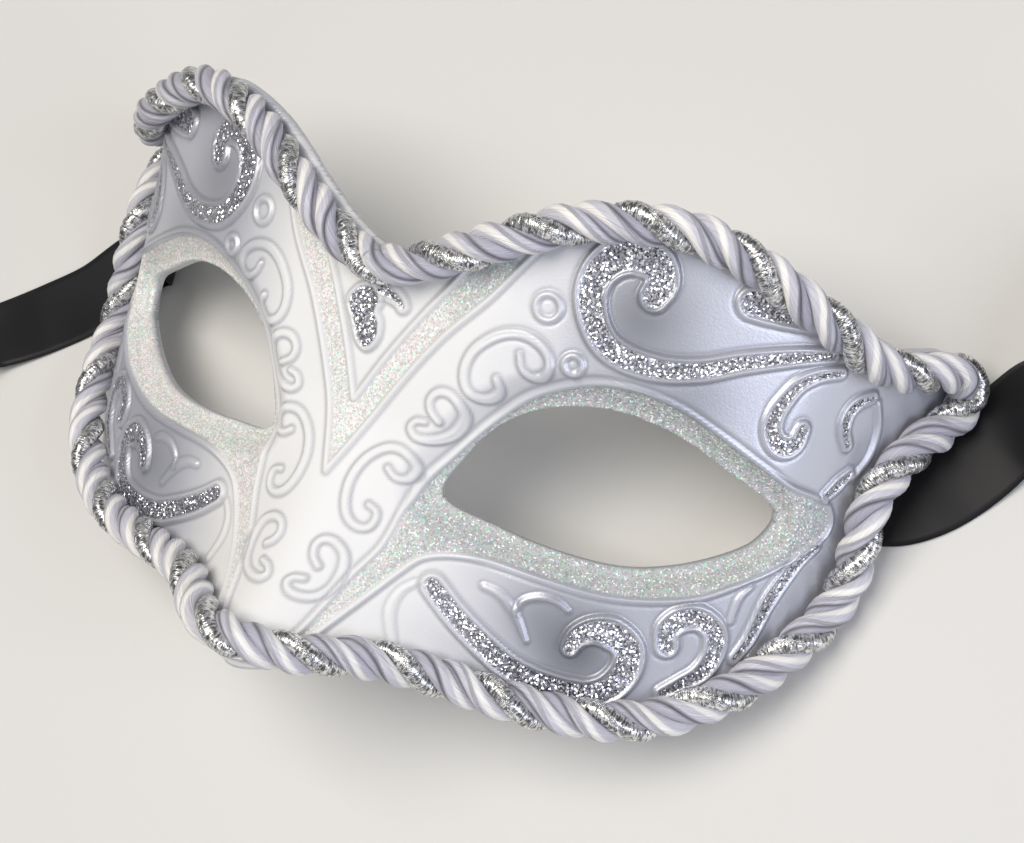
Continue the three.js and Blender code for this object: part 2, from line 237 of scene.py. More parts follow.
# Each ribbon is glued inside its wing from the first to the second place, drawn flat, then goes through
# its points: place on the floor, turn and lift. A turn of 0 lies flat and 90 stands on edge. Its far end
# is rolled up, to the side that the last pair points at.
RIBBONS = {
    "ribbon_left": {
        "glued": [(74, 24), (79, 23.2)],
        "over": [(66.5, 20, 21, 5.6), (66.9, 20, 19, 2.7), (68.2, 20, 12, 0.8), (70.9, 20.1, 4, 0.4),
                 (74.4, 21, 0, 0.1), (78.2, 23.8, 0, 0), (82, 28.6, 0, 0), (85.6, 35, -6, 0),
                 (88.4, 42, -30, 0), (90.6, 48, -68, 0), (92.2, 54.5, -90, 0), (93.8, 63, -90, 0)],
        "roll": (1, -0.3),
    },
    "ribbon_right": {
        "glued": [(-74, 24), (-79, 23.2)],
        "over": [(-66.5, 20, -21, 5.6), (-66.9, 20, -19, 2.7), (-68.2, 20, -12, 0.8),
                 (-70.9, 19.8, -4, 0.4), (-74.6, 17.6, 0, 0.1), (-78.4, 13, 0, 0), (-83.4, 5.6, 0, 0),
                 (-91, -1.6, 0, 0), (-99.5, -8.6, 6, 0), (-104.6, -14, 35, 0), (-108.5, -19.6, 70, 0),
                 (-112, -25.6, 90, 0), (-116, -33.5, 90, 0)],
        "roll": (-1, 0.3),
    },
}

NO_WAY = 1e-4  # two points closer than this are one


# Curves.
def smooth_line(points, closed=False, per=40):
    """A dense centripetal Catmull-Rom line through the points."""
    places = np.array(points, float)
    count = len(places)
    steps = np.arange(per)[:, None] / per
    line = []
    for i in range(count if closed else count - 1):
        start, end = places[i], places[(i + 1) % count]
        before = places[(i - 1) % count] if closed or i > 0 else 2 * start - end
        after = places[(i + 2) % count] if closed or i + 2 < count else 2 * end - start
        pairs = ((before, start), (start, end), (end, after))
        d0, d1, d2 = (np.sum((b - a) ** 2) ** 0.25 for a, b in pairs)
        d1 = d1 if d1 > NO_WAY else 1.0
        d0 = d0 if d0 > NO_WAY else d1
        d2 = d2 if d2 > NO_WAY else d1
        m1 = ((start - before) / d0 - (end - before) / (d0 + d1) + (end - start) / d1) * d1
        m2 = ((end - start) / d1 - (after - start) / (d1 + d2) + (after - end) / d2) * d1
        bend = (-3 * start + 3 * end - 2 * m1 - m2) * steps**2
        line.append(start + m1 * steps + bend + (2 * start - 2 * end + m1 + m2) * steps**3)
    if not closed:
        line.append(places[-1:])
    return np.vstack(line)


def way_along(points):
    """How far each point of a line is along it."""
    return np.concatenate([[0], np.cumsum(np.linalg.norm(np.diff(points, axis=0), axis=1))])


def spaced(line, count, closed=False):
    """Points at equal steps along a dense line."""
    points = np.vstack([line, line[:1]]) if closed else line
    way = way_along(points)
    want = np.linspace(0, way[-1], count + 1)[:-1] if closed else np.linspace(0, way[-1], count)
    return np.column_stack([np.interp(want, way, points[:, k]) for k in range(points.shape[1])])


def unit(v):
    return v / np.linalg.norm(v, axis=-1, keepdims=True)


def smoothstep(t):
    t = np.clip(t, 0, 1)
    return t * t * (3 - 2 * t)


def away_from(points, loop):
    """Distance of each point from a closed loop, less than 0 inside it."""
    best = np.full(len(points), np.inf)
    inside = np.zeros(len(points), bool)
    for a, b in zip(loop, np.roll(loop, -1, axis=0)):
        ab = b - a
        t = np.clip((points - a) @ ab / (ab @ ab), 0, 1)
        best = np.minimum(best, np.linalg.norm(points - a - t[:, None] * ab, axis=1))
        if a[1] != b[1]:
            cross = (a[1] > points[:, 1]) != (b[1] > points[:, 1])
            left = points[:, 0] < a[0] + ab[0] * (points[:, 1] - a[1]) / ab[1]
            inside ^= cross & left
    return np.where(inside, -best, best)


# The face form: from the flat drawing to the lying mask.
def along(points, x):
    """A smooth line through the points of a profile: its value at x."""
    px, py = np.array(points, float).T
    last = len(px) - 1
    slopes = np.zeros(last + 1)
    for k in range(1, last + 1):
        after = min(k + 1, last)
        slopes[k] = (py[after] - py[k - 1]) / (px[after] - px[k - 1])
    x = np.asarray(x, float)
    i = np.clip(np.searchsorted(px, x, side="left") - 1, 0, last - 1)
    w = px[i + 1] - px[i]
    t = (x - px[i]) / w
    ease = t * t * (3 - 2 * t)
    bend = w * t * (1 - t) * ((1 - t) * slopes[i] - t * slopes[i + 1])
    return py[i] + (py[i + 1] - py[i]) * ease + bend


WIDTH_STEP = 0.5  # between the half widths at which the way along the face form is known
EYE_PLACES, RIM_STEPS = 88, 30  # round an eye hole, and between two points of the rim
HALF_WIDTHS = np.arange(0, PLAN[-1][0] + WIDTH_STEP / 2, WIDTH_STEP)
WAYS = way_along(np.column_stack([HALF_WIDTHS, along(PLAN, HALF_WIDTHS)]))
EYE_LOOP = spaced(smooth_line(EYE, True), EYE_PLACES, True)
RIM_LINE = smooth_line(RIM + [(-way, up) for way, up in RIM[1:-1]][::-1], True, RIM_STEPS)
TIP = np.array([[1, 0, 0], [0, math.cos(LEAN), -math.sin(LEAN)], [0, math.sin(LEAN), math.cos(LEAN)]])
NEAR_BY = 0.2  # the way the face looks is worked out from places this far off on either side


def width_at(way):
    """How far out the face form is after this way along it. Past its end it goes straight on."""
    size = np.abs(way)
    over = np.maximum(size - WAYS[-1], 0) * WIDTH_STEP / (WAYS[-1] - WAYS[-2])
    return np.sign(way) * (np.interp(size, WAYS, HALF_WIDTHS) + over)


def eye_dish(way, up):
    """How far the face is sunk round an eye hole."""
    flat = np.column_stack([np.abs(way), up])
    near = ((flat > EYE_LOOP.min(0) - EYE_BAND) & (flat < EYE_LOOP.max(0) + EYE_BAND)).all(1)
    share = np.ones(len(flat))
    if near.any():
        share[near] = np.clip(away_from(flat[near], EYE_LOOP) / EYE_BAND, 0, 1)
    return EYE_DISH * (1 - smoothstep(share))


def on_front(way, up):
    """The front of the face form, before it is laid down."""
    x = width_at(way)
    spread = RIDGE_WIDE + NOSTRILS_WIDER * np.clip(-up / NOSE_TALL, 0, 1)
    ridge = along(RIDGE, up) * np.exp(-x * x / (2 * spread * spread))
    depth = along(PLAN, np.abs(x)) + SLOPE * (up - SLOPE_FROM) + ridge - eye_dish(way, up)
    return np.column_stack([x, up, depth])


def on_face(way, up, high):
    """Points this high off the front of the lying mask, and the directions up the face and off it."""
    way, up = np.asarray(way, float), np.asarray(up, float)
    high = np.broadcast_to(np.asarray(high, float), way.shape)
    outward = unit(on_front(way + NEAR_BY, up) - on_front(way - NEAR_BY, up))
    upward = unit(on_front(way, up + NEAR_BY) - on_front(way, up - NEAR_BY))
    off = unit(np.cross(outward, upward))
    places = on_front(way, up) + off * high[:, None]
    return places @ TIP.T + [0, -BACK, HEIGHT], upward @ TIP.T, off @ TIP.T


# Raised work on the face: each stroke is a line with its width from start to end, and how high it is.
GLITTER, OUTLINE, PLAIN = "glitter", "outline", "plain"


def stroke(points, wide, high, kind):
    return {"at": points, "wide": wide, "high": high, "kind": kind}


STROKES = [
    # the large scroll of the forehead, from its tail round to its head
    stroke([(69.4, 40.4), (64, 38.6), (56, 35.2), (50.5, 32.4), (45, 30.8), (40.4, 30.6), (36.4, 31.6),
            (33.7, 34.2), (32.1, 37.9), (32.5, 41.6), (34.6, 44.4), (37.4, 45.6), (40.2, 44.9),
            (41.6, 42.8), (41, 40.4)], (0.8, 1.5, 1.9, 2.2, 2.7, 3.0, 3.6, 4.6, 3.0), 0.85, GLITTER),
    stroke([(55.1, 44), (58.2, 44.4), (62, 45.2), (66, 46.2)], (3.4, 4.0, 4.6, 4.8), 0.8, GLITTER),
    # the temple
    stroke([(71.9, 38.3), (68.2, 36.9), (65.5, 34.8), (64, 32), (63.2, 29.4), (63.4, 27.1),
            (64.8, 25.5), (66.5, 25.4), (67.7, 26.6), (68.1, 28.6)],
           (0.6, 0.9, 1.3, 1.7, 2.3, 1.3), 0.55, GLITTER),
    stroke([(79.6, 36.3), (77, 34.9), (75.6, 32.8), (75.7, 30.2), (77.2, 28.2)],
           (0.6, 1.0, 1.3, 0.8), 0.5, GLITTER),
    stroke([(81, 35.7), (82.8, 32), (82.7, 27.2), (80.4, 23.3)], (0.8, 1.0, 0.8), 0.5, PLAIN),
    stroke([(76.2, 19.9), (79.6, 24.2)], (0.8, 1.2, 0.6), 0.45, GLITTER),
    # the brow curls beside the bridge
    stroke([(21.8, 21.6), (22.4, 20.2), (21.4, 18.6), (19.6, 18), (17.6, 19), (16.7, 21.3),
            (17.2, 24.2), (19, 26.7), (21.4, 28.5), (24, 29.2), (26.8, 28.6), (28.6, 27.1), (29, 25.4),
            (28, 23.9), (26.4, 23.6), (24.9, 24.6), (24.2, 26.2)],
           (0.79, 1.12, 1.25, 1.12, 0.59), 0.42, OUTLINE),
    stroke([(14.8, 12.6), (13.1, 13.8), (12.6, 15.3), (13.5, 16.8), (15.2, 17.2), (17, 16.4),
            (18, 14.8), (17.5, 12.6), (15.9, 10.5), (13.8, 9.4), (11.6, 9.3), (10.6, 10.3),
            (11.2, 11.5), (12.7, 11.9)], (0.66, 0.99, 1.06, 0.99, 0.59), 0.46, OUTLINE),
    # the curls down the side of the nose
    stroke([(9.2, 3.3), (10.6, 2.4), (12.3, 2.6), (13, 4.4), (12.2, 5.8), (10.1, 6.6), (8.1, 6.2),
            (5.6, 3.8), (4.4, 0.3), (4.8, -3.4), (6.1, -5.7), (7.9, -6.6), (9.4, -6.2), (10, -4.7),
            (9.7, -3.5), (8.4, -2.9)], (0.66, 0.99, 1.12, 0.99, 0.59), 0.42, OUTLINE),
    stroke([(5, -14), (3.7, -12.8), (3.3, -11.2), (4.1, -10), (5.7, -9.8), (7.6, -11.1), (8.3, -13.4),
            (7.9, -16.5), (6.5, -18.3), (4.5, -18.9), (2.6, -18.6), (1.8, -17.6), (2.5, -16.7),
            (4, -16.3)], (0.66, 0.92, 1.06, 0.92, 0.59), 0.42, OUTLINE),
    # the swirl on the cheek and the two leaves
    stroke([(21, -11.4), (24.5, -14.0), (27.6, -15.9), (31.3, -17.8), (35, -19.4), (39.3, -20.2),
            (43.9, -20.3), (48.2, -19.6), (50.9, -17.4), (52.3, -14), (51.8, -11.1), (49.1, -9.6),
            (45.9, -10), (43.9, -11.6), (43.2, -13.6)],
           (2.4, 2.7, 2.9, 3.0, 3.2, 3.4, 3.6, 1.6), 0.85, GLITTER),
    stroke([(28.3, -8.9), (30.6, -9.2), (32.8, -10.4), (34.6, -12.2), (36.6, -14.9)],
           (0.7, 1.3, 0.5), 0.45, PLAIN),
    stroke([(18.4, -11.9), (17.1, -13.3), (16.4, -15), (16.3, -16.9), (16.7, -18.5), (18.1, -21.6)],
           (0.5, 0.9, 0.5), 0.3, PLAIN),
    stroke([(34, -11), (34.4, -9.3), (35.7, -8.2), (37.7, -7.5), (39.8, -7.6), (41.4, -8.3)],
           (0.6, 0.9, 0.6), 0.45, PLAIN),
    stroke([(57.3, -8.9), (56.8, -6.6), (58.4, -4.3), (61.2, -3.4), (63.9, -4.7), (64.7, -6.8),
            (64.6, -9.2), (63.4, -11.9), (61.2, -14), (58.8, -16.2)],
           (2.4, 2.6, 2.4, 1.8, 1.0), 0.75, GLITTER),
    # the long leaf at the side of the eye
    stroke([(77.4, 12), (74.8, 9.3), (72.6, 5.1), (71.2, 1.4), (70.5, -2), (69.7, -5.2), (68.4, -8)],
           (0.7, 1.5, 1.7, 1.3, 0.7), 0.55, GLITTER),
    stroke([(67.6, 3.5), (66.3, 1.4), (66, -0.7), (66, -2.6)], (0.6, 0.9, 0.6), 0.5, PLAIN),
]
# Raised lines on both sides of the frosted V up the forehead.
V_OUTER = [(0, -0.3), (4.9, 11.7), (11.7, 24.4), (17.9, 32.9), (21.9, 39.9), (26, 47)]
V_INNER = [(0, 11.2), (3.6, 19), (7.7, 26.6), (10.9, 32), (15, 39.5)]
RINGS = [((26.5, 34.2), 1.9), ((32.3, 27.3), 1.4)]  # small raised circles on the brow: middle and radius
# The glittering kidney shape beside the middle of the forehead, and the small drop at its side.
KIDNEY = [(-4.1, 27.4), (-4.9, 25.6), (-3.4, 23.2), (-1.8, 20.5), (-0.1, 19.6), (1.2, 21.4), (0.9, 23.9),
          (-0.1, 25.1), (0.2, 27.1), (-0.9, 28.5), (-2.7, 28.6)]
SMALL_DROP = [(0.2, 29), (1.4, 28.7), (2.6, 28.4), (3.7, 27.9), (4.3, 27.3)]
KIDNEY_HIGH, KIDNEY_PAST = 0.8, 0.1  # how high it is, and how far its glitter runs past its outline
DROP_HIGH, DROP_PAST = 0.6, 0.0
DROP_WIDE = (0.9, 0.4)  # half the drop's width at its start and its end

# A stroke has a flat bed and thin lips at its sides. The bed: its share of the height, how far it runs past
# the stroke's edge and how softly it ends. The lips: their share, how far past the edge, and their width.
BEDS = {GLITTER: (0.42, 0.6, 0.7), OUTLINE: (0.72, 0.25, 0.4)}
LIPS = {GLITTER: (0.58, 0.0, 0.33), OUTLINE: (0.28, -0.15, 0.28)}
LIP_OUT, LIP_SPREAD = 0.3, 0.15  # a glitter stroke's edge is this far out, and by this share of its width
PLAIN_WIDER = 0.1  # a plain stroke is a single bump, wider than drawn by this
GLITTER_PAST, GLITTER_EDGE = 0.12, 0.22  # how far glitter runs past its stroke, and how softly it ends
FROST_EDGES = {"band": (-0.3, 0.5), "forehead": (-0.4, 0.6)}  # the same of the frosted bands
# The raised lines at the sides of the bands, and the small rings: height and width.
BEADS = {"band": (0.6, 0.37), "forehead": (0.55, 0.4), "ring": (0.5, 0.4)}
# The fine groove beside each kind of line: how deep against the deepest, how far off, and how wide.
GROOVES = {
    "glitter": (0.85, 0.6, 0.29),
    "in glitter": (0.45, 0.1, 0.24),
    "outline": (0.9, 0.35, 0.28),
    "plain": (0.6, 0.5, 0.26),
    "band": (0.85, 0.7, 0.28),
    "in band": (0.45, -0.7, 0.28),
    "forehead": (0.75, 0.72, 0.28),
    "ring": (0.75, 0.7, 0.28),
}
GROOVE_DEEP = 0.12
BAND_PLACES, KIDNEY_PLACES = 220, 60  # round the drawn outlines
SHORT = 1e-9  # the least square of a piece of a line
ROPE_COVERS, ROPE_FADE = 1.2, 1.5  # no raised work this near the shell's edge, and how softly it ends there
STROKE_REACH = 1.6  # past this a stroke changes nothing


def within(gap, edge, soft):
    """1 inside the edge, 0 outside it, with a soft step between."""
    return smoothstep((edge - gap) / soft)


def bump_at(gap, wide):
    return np.exp(-(gap / wide) ** 2)


def bead(gap, kind):
    high, wide = BEADS[kind]
    return high * bump_at(gap, wide)


def groove_beside(gap, kind):
    strength, off, wide = GROOVES[kind]
    return strength * bump_at(gap - off, wide)


def nearest(points, line):
    """Distance of each point to a dense line, and the share of the line's way at the nearest place."""
    best = np.full(len(points), np.inf)
    share = np.zeros(len(points))
    way = way_along(line)
    for i, (a, b) in enumerate(zip(line[:-1], line[1:])):
        ab = b - a
        t = np.clip((points - a) @ ab / max(ab @ ab, SHORT), 0, 1)
        gap = np.linalg.norm(points - a - t[:, None] * ab, axis=1)
        closer = gap < best
        best[closer] = gap[closer]
        share[closer] = (way[i] + t[closer] * (way[i + 1] - way[i])) / way[-1]
    return best, share


def bed_and_lips(gap, edge, kind):
    bed, bed_past, bed_soft = BEDS[kind]
    lip, lip_past, lip_wide = LIPS[kind]
    return bed * within(gap, edge + bed_past, bed_soft) + lip * bump_at(gap - edge - lip_past, lip_wide)


def glitter_stroke(gap, half, high):
    """Height and groove of a bed of glitter, from the distance to its middle and half its width."""
    edge = half + LIP_OUT + LIP_SPREAD * half
    groove = np.maximum(groove_beside(gap - edge, "glitter"), groove_beside(gap - half, "in glitter"))
    return high * bed_and_lips(gap, edge, GLITTER), groove


def outline_stroke(gap, half, high):
    """A low flat stroke, set off by a fine groove."""
    return high * bed_and_lips(gap, half, OUTLINE), groove_beside(gap - half, "outline")


def plain_stroke(gap, half, high):
    return high * bump_at(gap, half + PLAIN_WIDER), groove_beside(gap - half, "plain")


PROFILES = {GLITTER: glitter_stroke, OUTLINE: outline_stroke, PLAIN: plain_stroke}


class Relief:
    """The raised work at places on the flat drawing, gathered piece by piece."""

    def __init__(self, way, up):
        self.signed = np.column_stack([way, up])
        self.half = np.column_stack([np.abs(way), up])
        self.high, self.silver, self.frost, self.groove = np.zeros((4, len(way)))

    def raise_to(self, high, groove, at=slice(None)):
        self.high[at] = np.maximum(self.high[at], high)
        self.groove[at] = np.maximum(self.groove[at], groove)

    def glitter(self, share, at=slice(None)):
        self.silver[at] = np.maximum(self.silver[at], share)

    def frosted(self, share):
        self.frost = np.maximum(self.frost, share)


def add_strokes(work):
    for mark in STROKES:
        line = spaced(smooth_line(mark["at"]), max(12, 5 * len(mark["at"])))
        reach = max(mark["wide"]) / 2 + STROKE_REACH
        near = ((work.half > line.min(0) - reach) & (work.half < line.max(0) + reach)).all(1)
        if not near.any():
            continue
        gap, share = nearest(work.half[near], line)
        half = np.interp(share, np.linspace(0, 1, len(mark["wide"])), mark["wide"]) / 2
        work.raise_to(*PROFILES[mark["kind"]](gap, half, mark["high"]), near)
        if mark["kind"] is GLITTER:
            work.glitter(within(gap, half + GLITTER_PAST, GLITTER_EDGE), near)


def add_eye_bands(work):
    """The bands of frosted glitter round the eyes and down the nose."""
    gap = away_from(work.half, spaced(smooth_line(BAND, True), BAND_PLACES, True))
    work.raise_to(bead(gap, "band"), np.maximum(groove_beside(gap, "band"), groove_beside(gap, "in band")))
    work.frosted(within(gap, *FROST_EDGES["band"]))


def add_forehead_band(work):
    """The frosted V up the forehead, between two raised lines."""
    out, up = work.half.T
    sides = [smooth_line(line, per=14) for line in (V_OUTER, V_INNER)]
    outer, inner = (np.interp(up, line[:, 1], line[:, 0], left=-9, right=99) for line in sides)
    outside = np.maximum(out - outer, inner - out)
    work.frosted(within(outside, *FROST_EDGES["forehead"]) * (up > 0))
    for line in sides:
        gap = nearest(work.half, line)[0]
        work.raise_to(bead(gap, "forehead"), groove_beside(gap, "forehead"))


def add_rings(work):
    for middle, radius in RINGS:
        gap = np.abs(np.linalg.norm(work.half - middle, axis=1) - radius)
        work.raise_to(bead(gap, "ring"), groove_beside(gap, "ring"))


def add_kidney(work):
    """The kidney shape and its drop, on one side only."""
    kidney_gap = away_from(work.signed, spaced(smooth_line(KIDNEY, True), KIDNEY_PLACES, True))
    drop_gap, share = nearest(work.signed, smooth_line(SMALL_DROP, per=6))
    drop_half = np.interp(share, (0, 1), DROP_WIDE)
    for gap, half, high, past in ((kidney_gap, 0, KIDNEY_HIGH, KIDNEY_PAST),
                                  (drop_gap, drop_half, DROP_HIGH, DROP_PAST)):
        work.raise_to(*glitter_stroke(gap, half, high))
        work.glitter(within(gap, half + past, GLITTER_EDGE))


def relief(way, up):
    """Height of the raised work, the shares of silver and of frosted glitter, and the fine grooves."""
    work = Relief(way, up)
    for add_work in (add_strokes, add_eye_bands, add_forehead_band, add_rings, add_kidney):
        add_work(work)
    groove = work.groove * (1 - work.silver)
    return work.high - GROOVE_DEEP * groove, work.silver, work.frost * (1 - work.silver), groove


# Meshes.
def new_mesh(name, verts, faces, edges=(), smooth=True):
    mesh = bpy.data.meshes.new(name)
    mesh.from_pydata([tuple(v) for v in verts], edges, faces)
    mesh.update()
    mesh.polygons.foreach_set("use_smooth", [smooth] * len(mesh.polygons))
    obj = bpy.data.objects.new(name, mesh)
    bpy.context.scene.collection.objects.link(obj)
    return obj


def set_attribute(obj, name, values):
    """A named value on each vertex: a number, or a direction."""
    values = np.asarray(values, np.float32)
    kind, field = ("FLOAT", "value") if values.ndim == 1 else ("FLOAT_VECTOR", "vector")
    layer = obj.data.attributes.new(name, kind, "POINT")
    layer.data.foreach_set(field, values.ravel())


def made_real(obj):
    """Turns an object and its modifiers into a plain mesh."""
    mesh = bpy.data.meshes.new_from_object(obj.evaluated_get(bpy.context.evaluated_depsgraph_get()))
    obj.modifiers.clear()
    obj.vertex_groups.clear()
    obj.data = mesh
    mesh.polygons.foreach_set("use_smooth", [True] * len(mesh.polygons))


def thin(obj, most, places=None):
    """Leaves fewer triangles where the surface is plain, or only among the given vertices."""
    triangles = sum(len(p.vertices) - 2 for p in obj.data.polygons)
    if triangles <= most:
        return
    cut = obj.modifiers.new("thin", "DECIMATE")
    cut.ratio = most / triangles
    cut.use_collapse_triangulate = True
    if places:
        group = obj.vertex_groups.new(name="plain")
        group.add(places, 1.0, "REPLACE")
        cut.vertex_group = group.name
    made_real(obj)


# The shell.
SHELL_FACES, BACK_FACES = 196000, 14000  # triangles of the shell, and of its plain inside
SHELL_STEP, QUICK_STEP = 0.3, 0.6  # of the net that the shell is made from
NET_OUT, NET_DOWN, NET_UP = 102, -33, 56  # how far the net reaches over the flat drawing
OUTLINE_PLACES, EDGE_PLACES = 700, 2400  # round the shell, and round each edge that the net slides onto
SLIVER = 1e-5  # a triangle smaller than this, in square millimetres times two, is left out
NET_SNAP = 0.62  # corners of the net nearer to an edge than this share of its step slide onto it


def shell_outline():
    places = spaced(RIM_LINE, OUTLINE_PLACES, True)
    along_rim = unit(np.roll(places, -1, axis=0) - np.roll(places, 1, axis=0))
    return places + EDGE * np.column_stack([-along_rim[:, 1], along_rim[:, 0]])


def outside_shell(places, outline):
    """How far places on the flat drawing are outside the shell, or in an eye hole. Less than 0 on it."""
    in_hole = away_from(np.column_stack([np.abs(places[:, 0]), places[:, 1]]), EYE_LOOP)
    return np.maximum(away_from(places, outline), -in_hole)


def slide_to_edges(places, chosen, outline):
    """Moves the chosen places to the nearest edge of the shell."""
    loops = (outline, EYE_LOOP, EYE_LOOP * [-1, 1])
    edge_points = np.vstack([spaced(loop, EDGE_PLACES, True) for loop in loops])
    tree = KDTree(len(edge_points))
    for i, (x, y) in enumerate(edge_points):
        tree.insert((x, y, 0), i)
    tree.balance()
    for k in np.nonzero(chosen)[0]:
        found = tree.find((places[k, 0], places[k, 1], 0))[0]
        places[k] = found[:2]


def flat_net(step, outline):
    """A net over the flat drawing, cut to the outline and the eye holes: its places and triangles."""
    across, up = np.meshgrid(np.arange(-NET_OUT, NET_OUT + step, step), np.arange(NET_DOWN, NET_UP, step),
                             indexing="ij")
    places = np.column_stack([across.ravel(), up.ravel()])
    outside = outside_shell(places, outline)
    near = np.abs(outside) < NET_SNAP * step
    slide_to_edges(places, near, outline)
    keep = near | (outside < 0)
    ids = np.arange(len(places)).reshape(across.shape)
    a, b, c, d = (part.ravel() for part in (ids[:-1, :-1], ids[1:, :-1], ids[1:, 1:], ids[:-1, 1:]))
    triangles = np.vstack([np.column_stack([a, b, c]), np.column_stack([a, c, d])])
    triangles = triangles[keep[triangles].all(1)]
    triangles = triangles[outside_shell(places[triangles].mean(1), outline) < 0]
    first = places[triangles[:, 1]] - places[triangles[:, 0]]
    second = places[triangles[:, 2]] - places[triangles[:, 0]]
    area = first[:, 0] * second[:, 1] - first[:, 1] * second[:, 0]
    used, triangles = np.unique(triangles[area > SLIVER], return_inverse=True)
    return places[used], triangles.reshape(-1, 3)


def edge_walls(triangles, count):
    """Faces from the open edges of the front to the same edges of the inside."""
    sides = [(t[i], t[(i + 1) % 3]) for t in triangles for i in range(3)]
    known = set(sides)
    return [(j, i, i + count, j + count) for i, j in sides if (j, i) not in known]


def mask_shell():
    """The shell: a fine net over the flat drawing, raised where the work is and bent to the face form."""
    outline = shell_outline()
    flat, triangles = flat_net(QUICK_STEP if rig.quick() else SHELL_STEP, outline)
    way, up = flat.T
    high, silver, frost, groove = relief(way, up)
    high *= within(away_from(flat, outline), -ROPE_COVERS, ROPE_FADE)
    count = len(flat)
    verts = np.vstack([on_face(way, up, high)[0], on_face(way, up, -SHELL)[0]])
    verts[:, 2] = np.maximum(verts[:, 2], 0)
    triangles = triangles.tolist()
    walls = edge_walls(triangles, count)
    inside = [[i + count for i in t[::-1]] for t in triangles]
    obj = new_mesh("shell", verts * MM, triangles + inside + walls)
    for name, share in (("silver", silver), ("frost", frost), ("groove", groove)):
        set_attribute(obj, name, np.concatenate([share, np.zeros(count)]))
    inner_rim = {i for wall in walls for i in wall[2:]}
    plain_inside = [i for i in range(count, 2 * count) if i not in inner_rim]
    thin(obj, len(triangles) + 2 * len(walls) + BACK_FACES, plain_inside)
    thin(obj, SHELL_FACES)
    return obj


# Node trees.
def add_node(tree, family, kind, inputs=(), **settings):
    """A new node with its settings and inputs: values, sockets, or nodes whose first output is meant."""
    node = tree.nodes.new(family + kind)
    for name, value in settings.items():
        setattr(node, name, value)
    sockets = [socket for socket in node.inputs if socket.enabled]
    for key, value in dict(inputs).items():
        socket = sockets[key] if isinstance(key, int) else next(s for s in sockets if s.name == key)
        if isinstance(value, bpy.types.Node):
            value = next(s for s in value.outputs if s.enabled)
        if isinstance(value, bpy.types.NodeSocket):
            tree.links.new(value, socket)
        else:
            socket.default_value = value
    return node


def new_material(name):
    material = bpy.data.materials.new(name)
    material.use_nodes = True
    material.node_tree.nodes.clear()
    return material, partial(add_node, material.node_tree, "ShaderNode")


def linear(hex_colour):
    """An sRGB hex colour, turned to linear."""
    value = [int(hex_colour[i:i + 2], 16) / 255 for i in (1, 3, 5)]
    return [c / 12.92 if c <= 0.04045 else ((c + 0.055) / 1.055) ** 2.4 for c in value] + [1]


def repeats(size):
    """The scale of a pattern whose parts are this many millimetres across."""
    return 1 / (size * MM)


# The rope: three twisted strands round the rim, one of silver.
STRANDS = 3
STRAND = 1.58  # radius of each of the strands, which press into each other
STRAND_OFF = 1.69  # from the middle of the rope to the middle of a strand
PLY_TURN, PLY_SWAY, PLY_WAVE = 0.75, 0.45, 23.0  # how the two plies of a strand lie, and sway along it
# Shares of a satin strand's radius: between its plies, the rise over them, and how flat their crests are.
PLY_VALLEY, PLY_CREST, PLY_FLAT = 0.86, 0.16, 0.55
GIMP, GIMP_WINDING = 0.97, 0.035  # the same of the silver strand, and how far its windings rise and fall
GIMP_STEP = 1.1  # between two windings
ROPE_PLACES, ROPE_ROUND = 1400, 14  # places along the rope, and round a strand
QUICK_PLACES, QUICK_ROUND = 700, 10


def store(tree, geometry, kind, **values):
    """Keeps values on the points of a geometry. Returns it, with a node for each that reads it back."""
    readers = []
    for name, value in values.items():
        inputs = {"Geometry": geometry, "Name": name, "Value": value}
        geometry = add_node(tree, "GeometryNode", "StoreNamedAttribute", inputs, data_type=kind)
        readers.append(add_node(tree, "GeometryNode", "InputNamedAttribute", {"Name": name},
                                data_type=kind))
    return geometry, *readers


def turned_between(node, start, quarter, angle):
    """The direction from start towards the direction a quarter turn on from it, turned by the angle."""
    cosine = node("Math", {0: angle}, operation="COSINE")
    sine = node("Math", {0: angle}, operation="SINE")
    first = node("VectorMath", {0: start, "Scale": cosine}, operation="SCALE")
    second = node("VectorMath", {0: quarter, "Scale": sine}, operation="SCALE")
    return node("VectorMath", {0: first, 1: second}, operation="ADD")


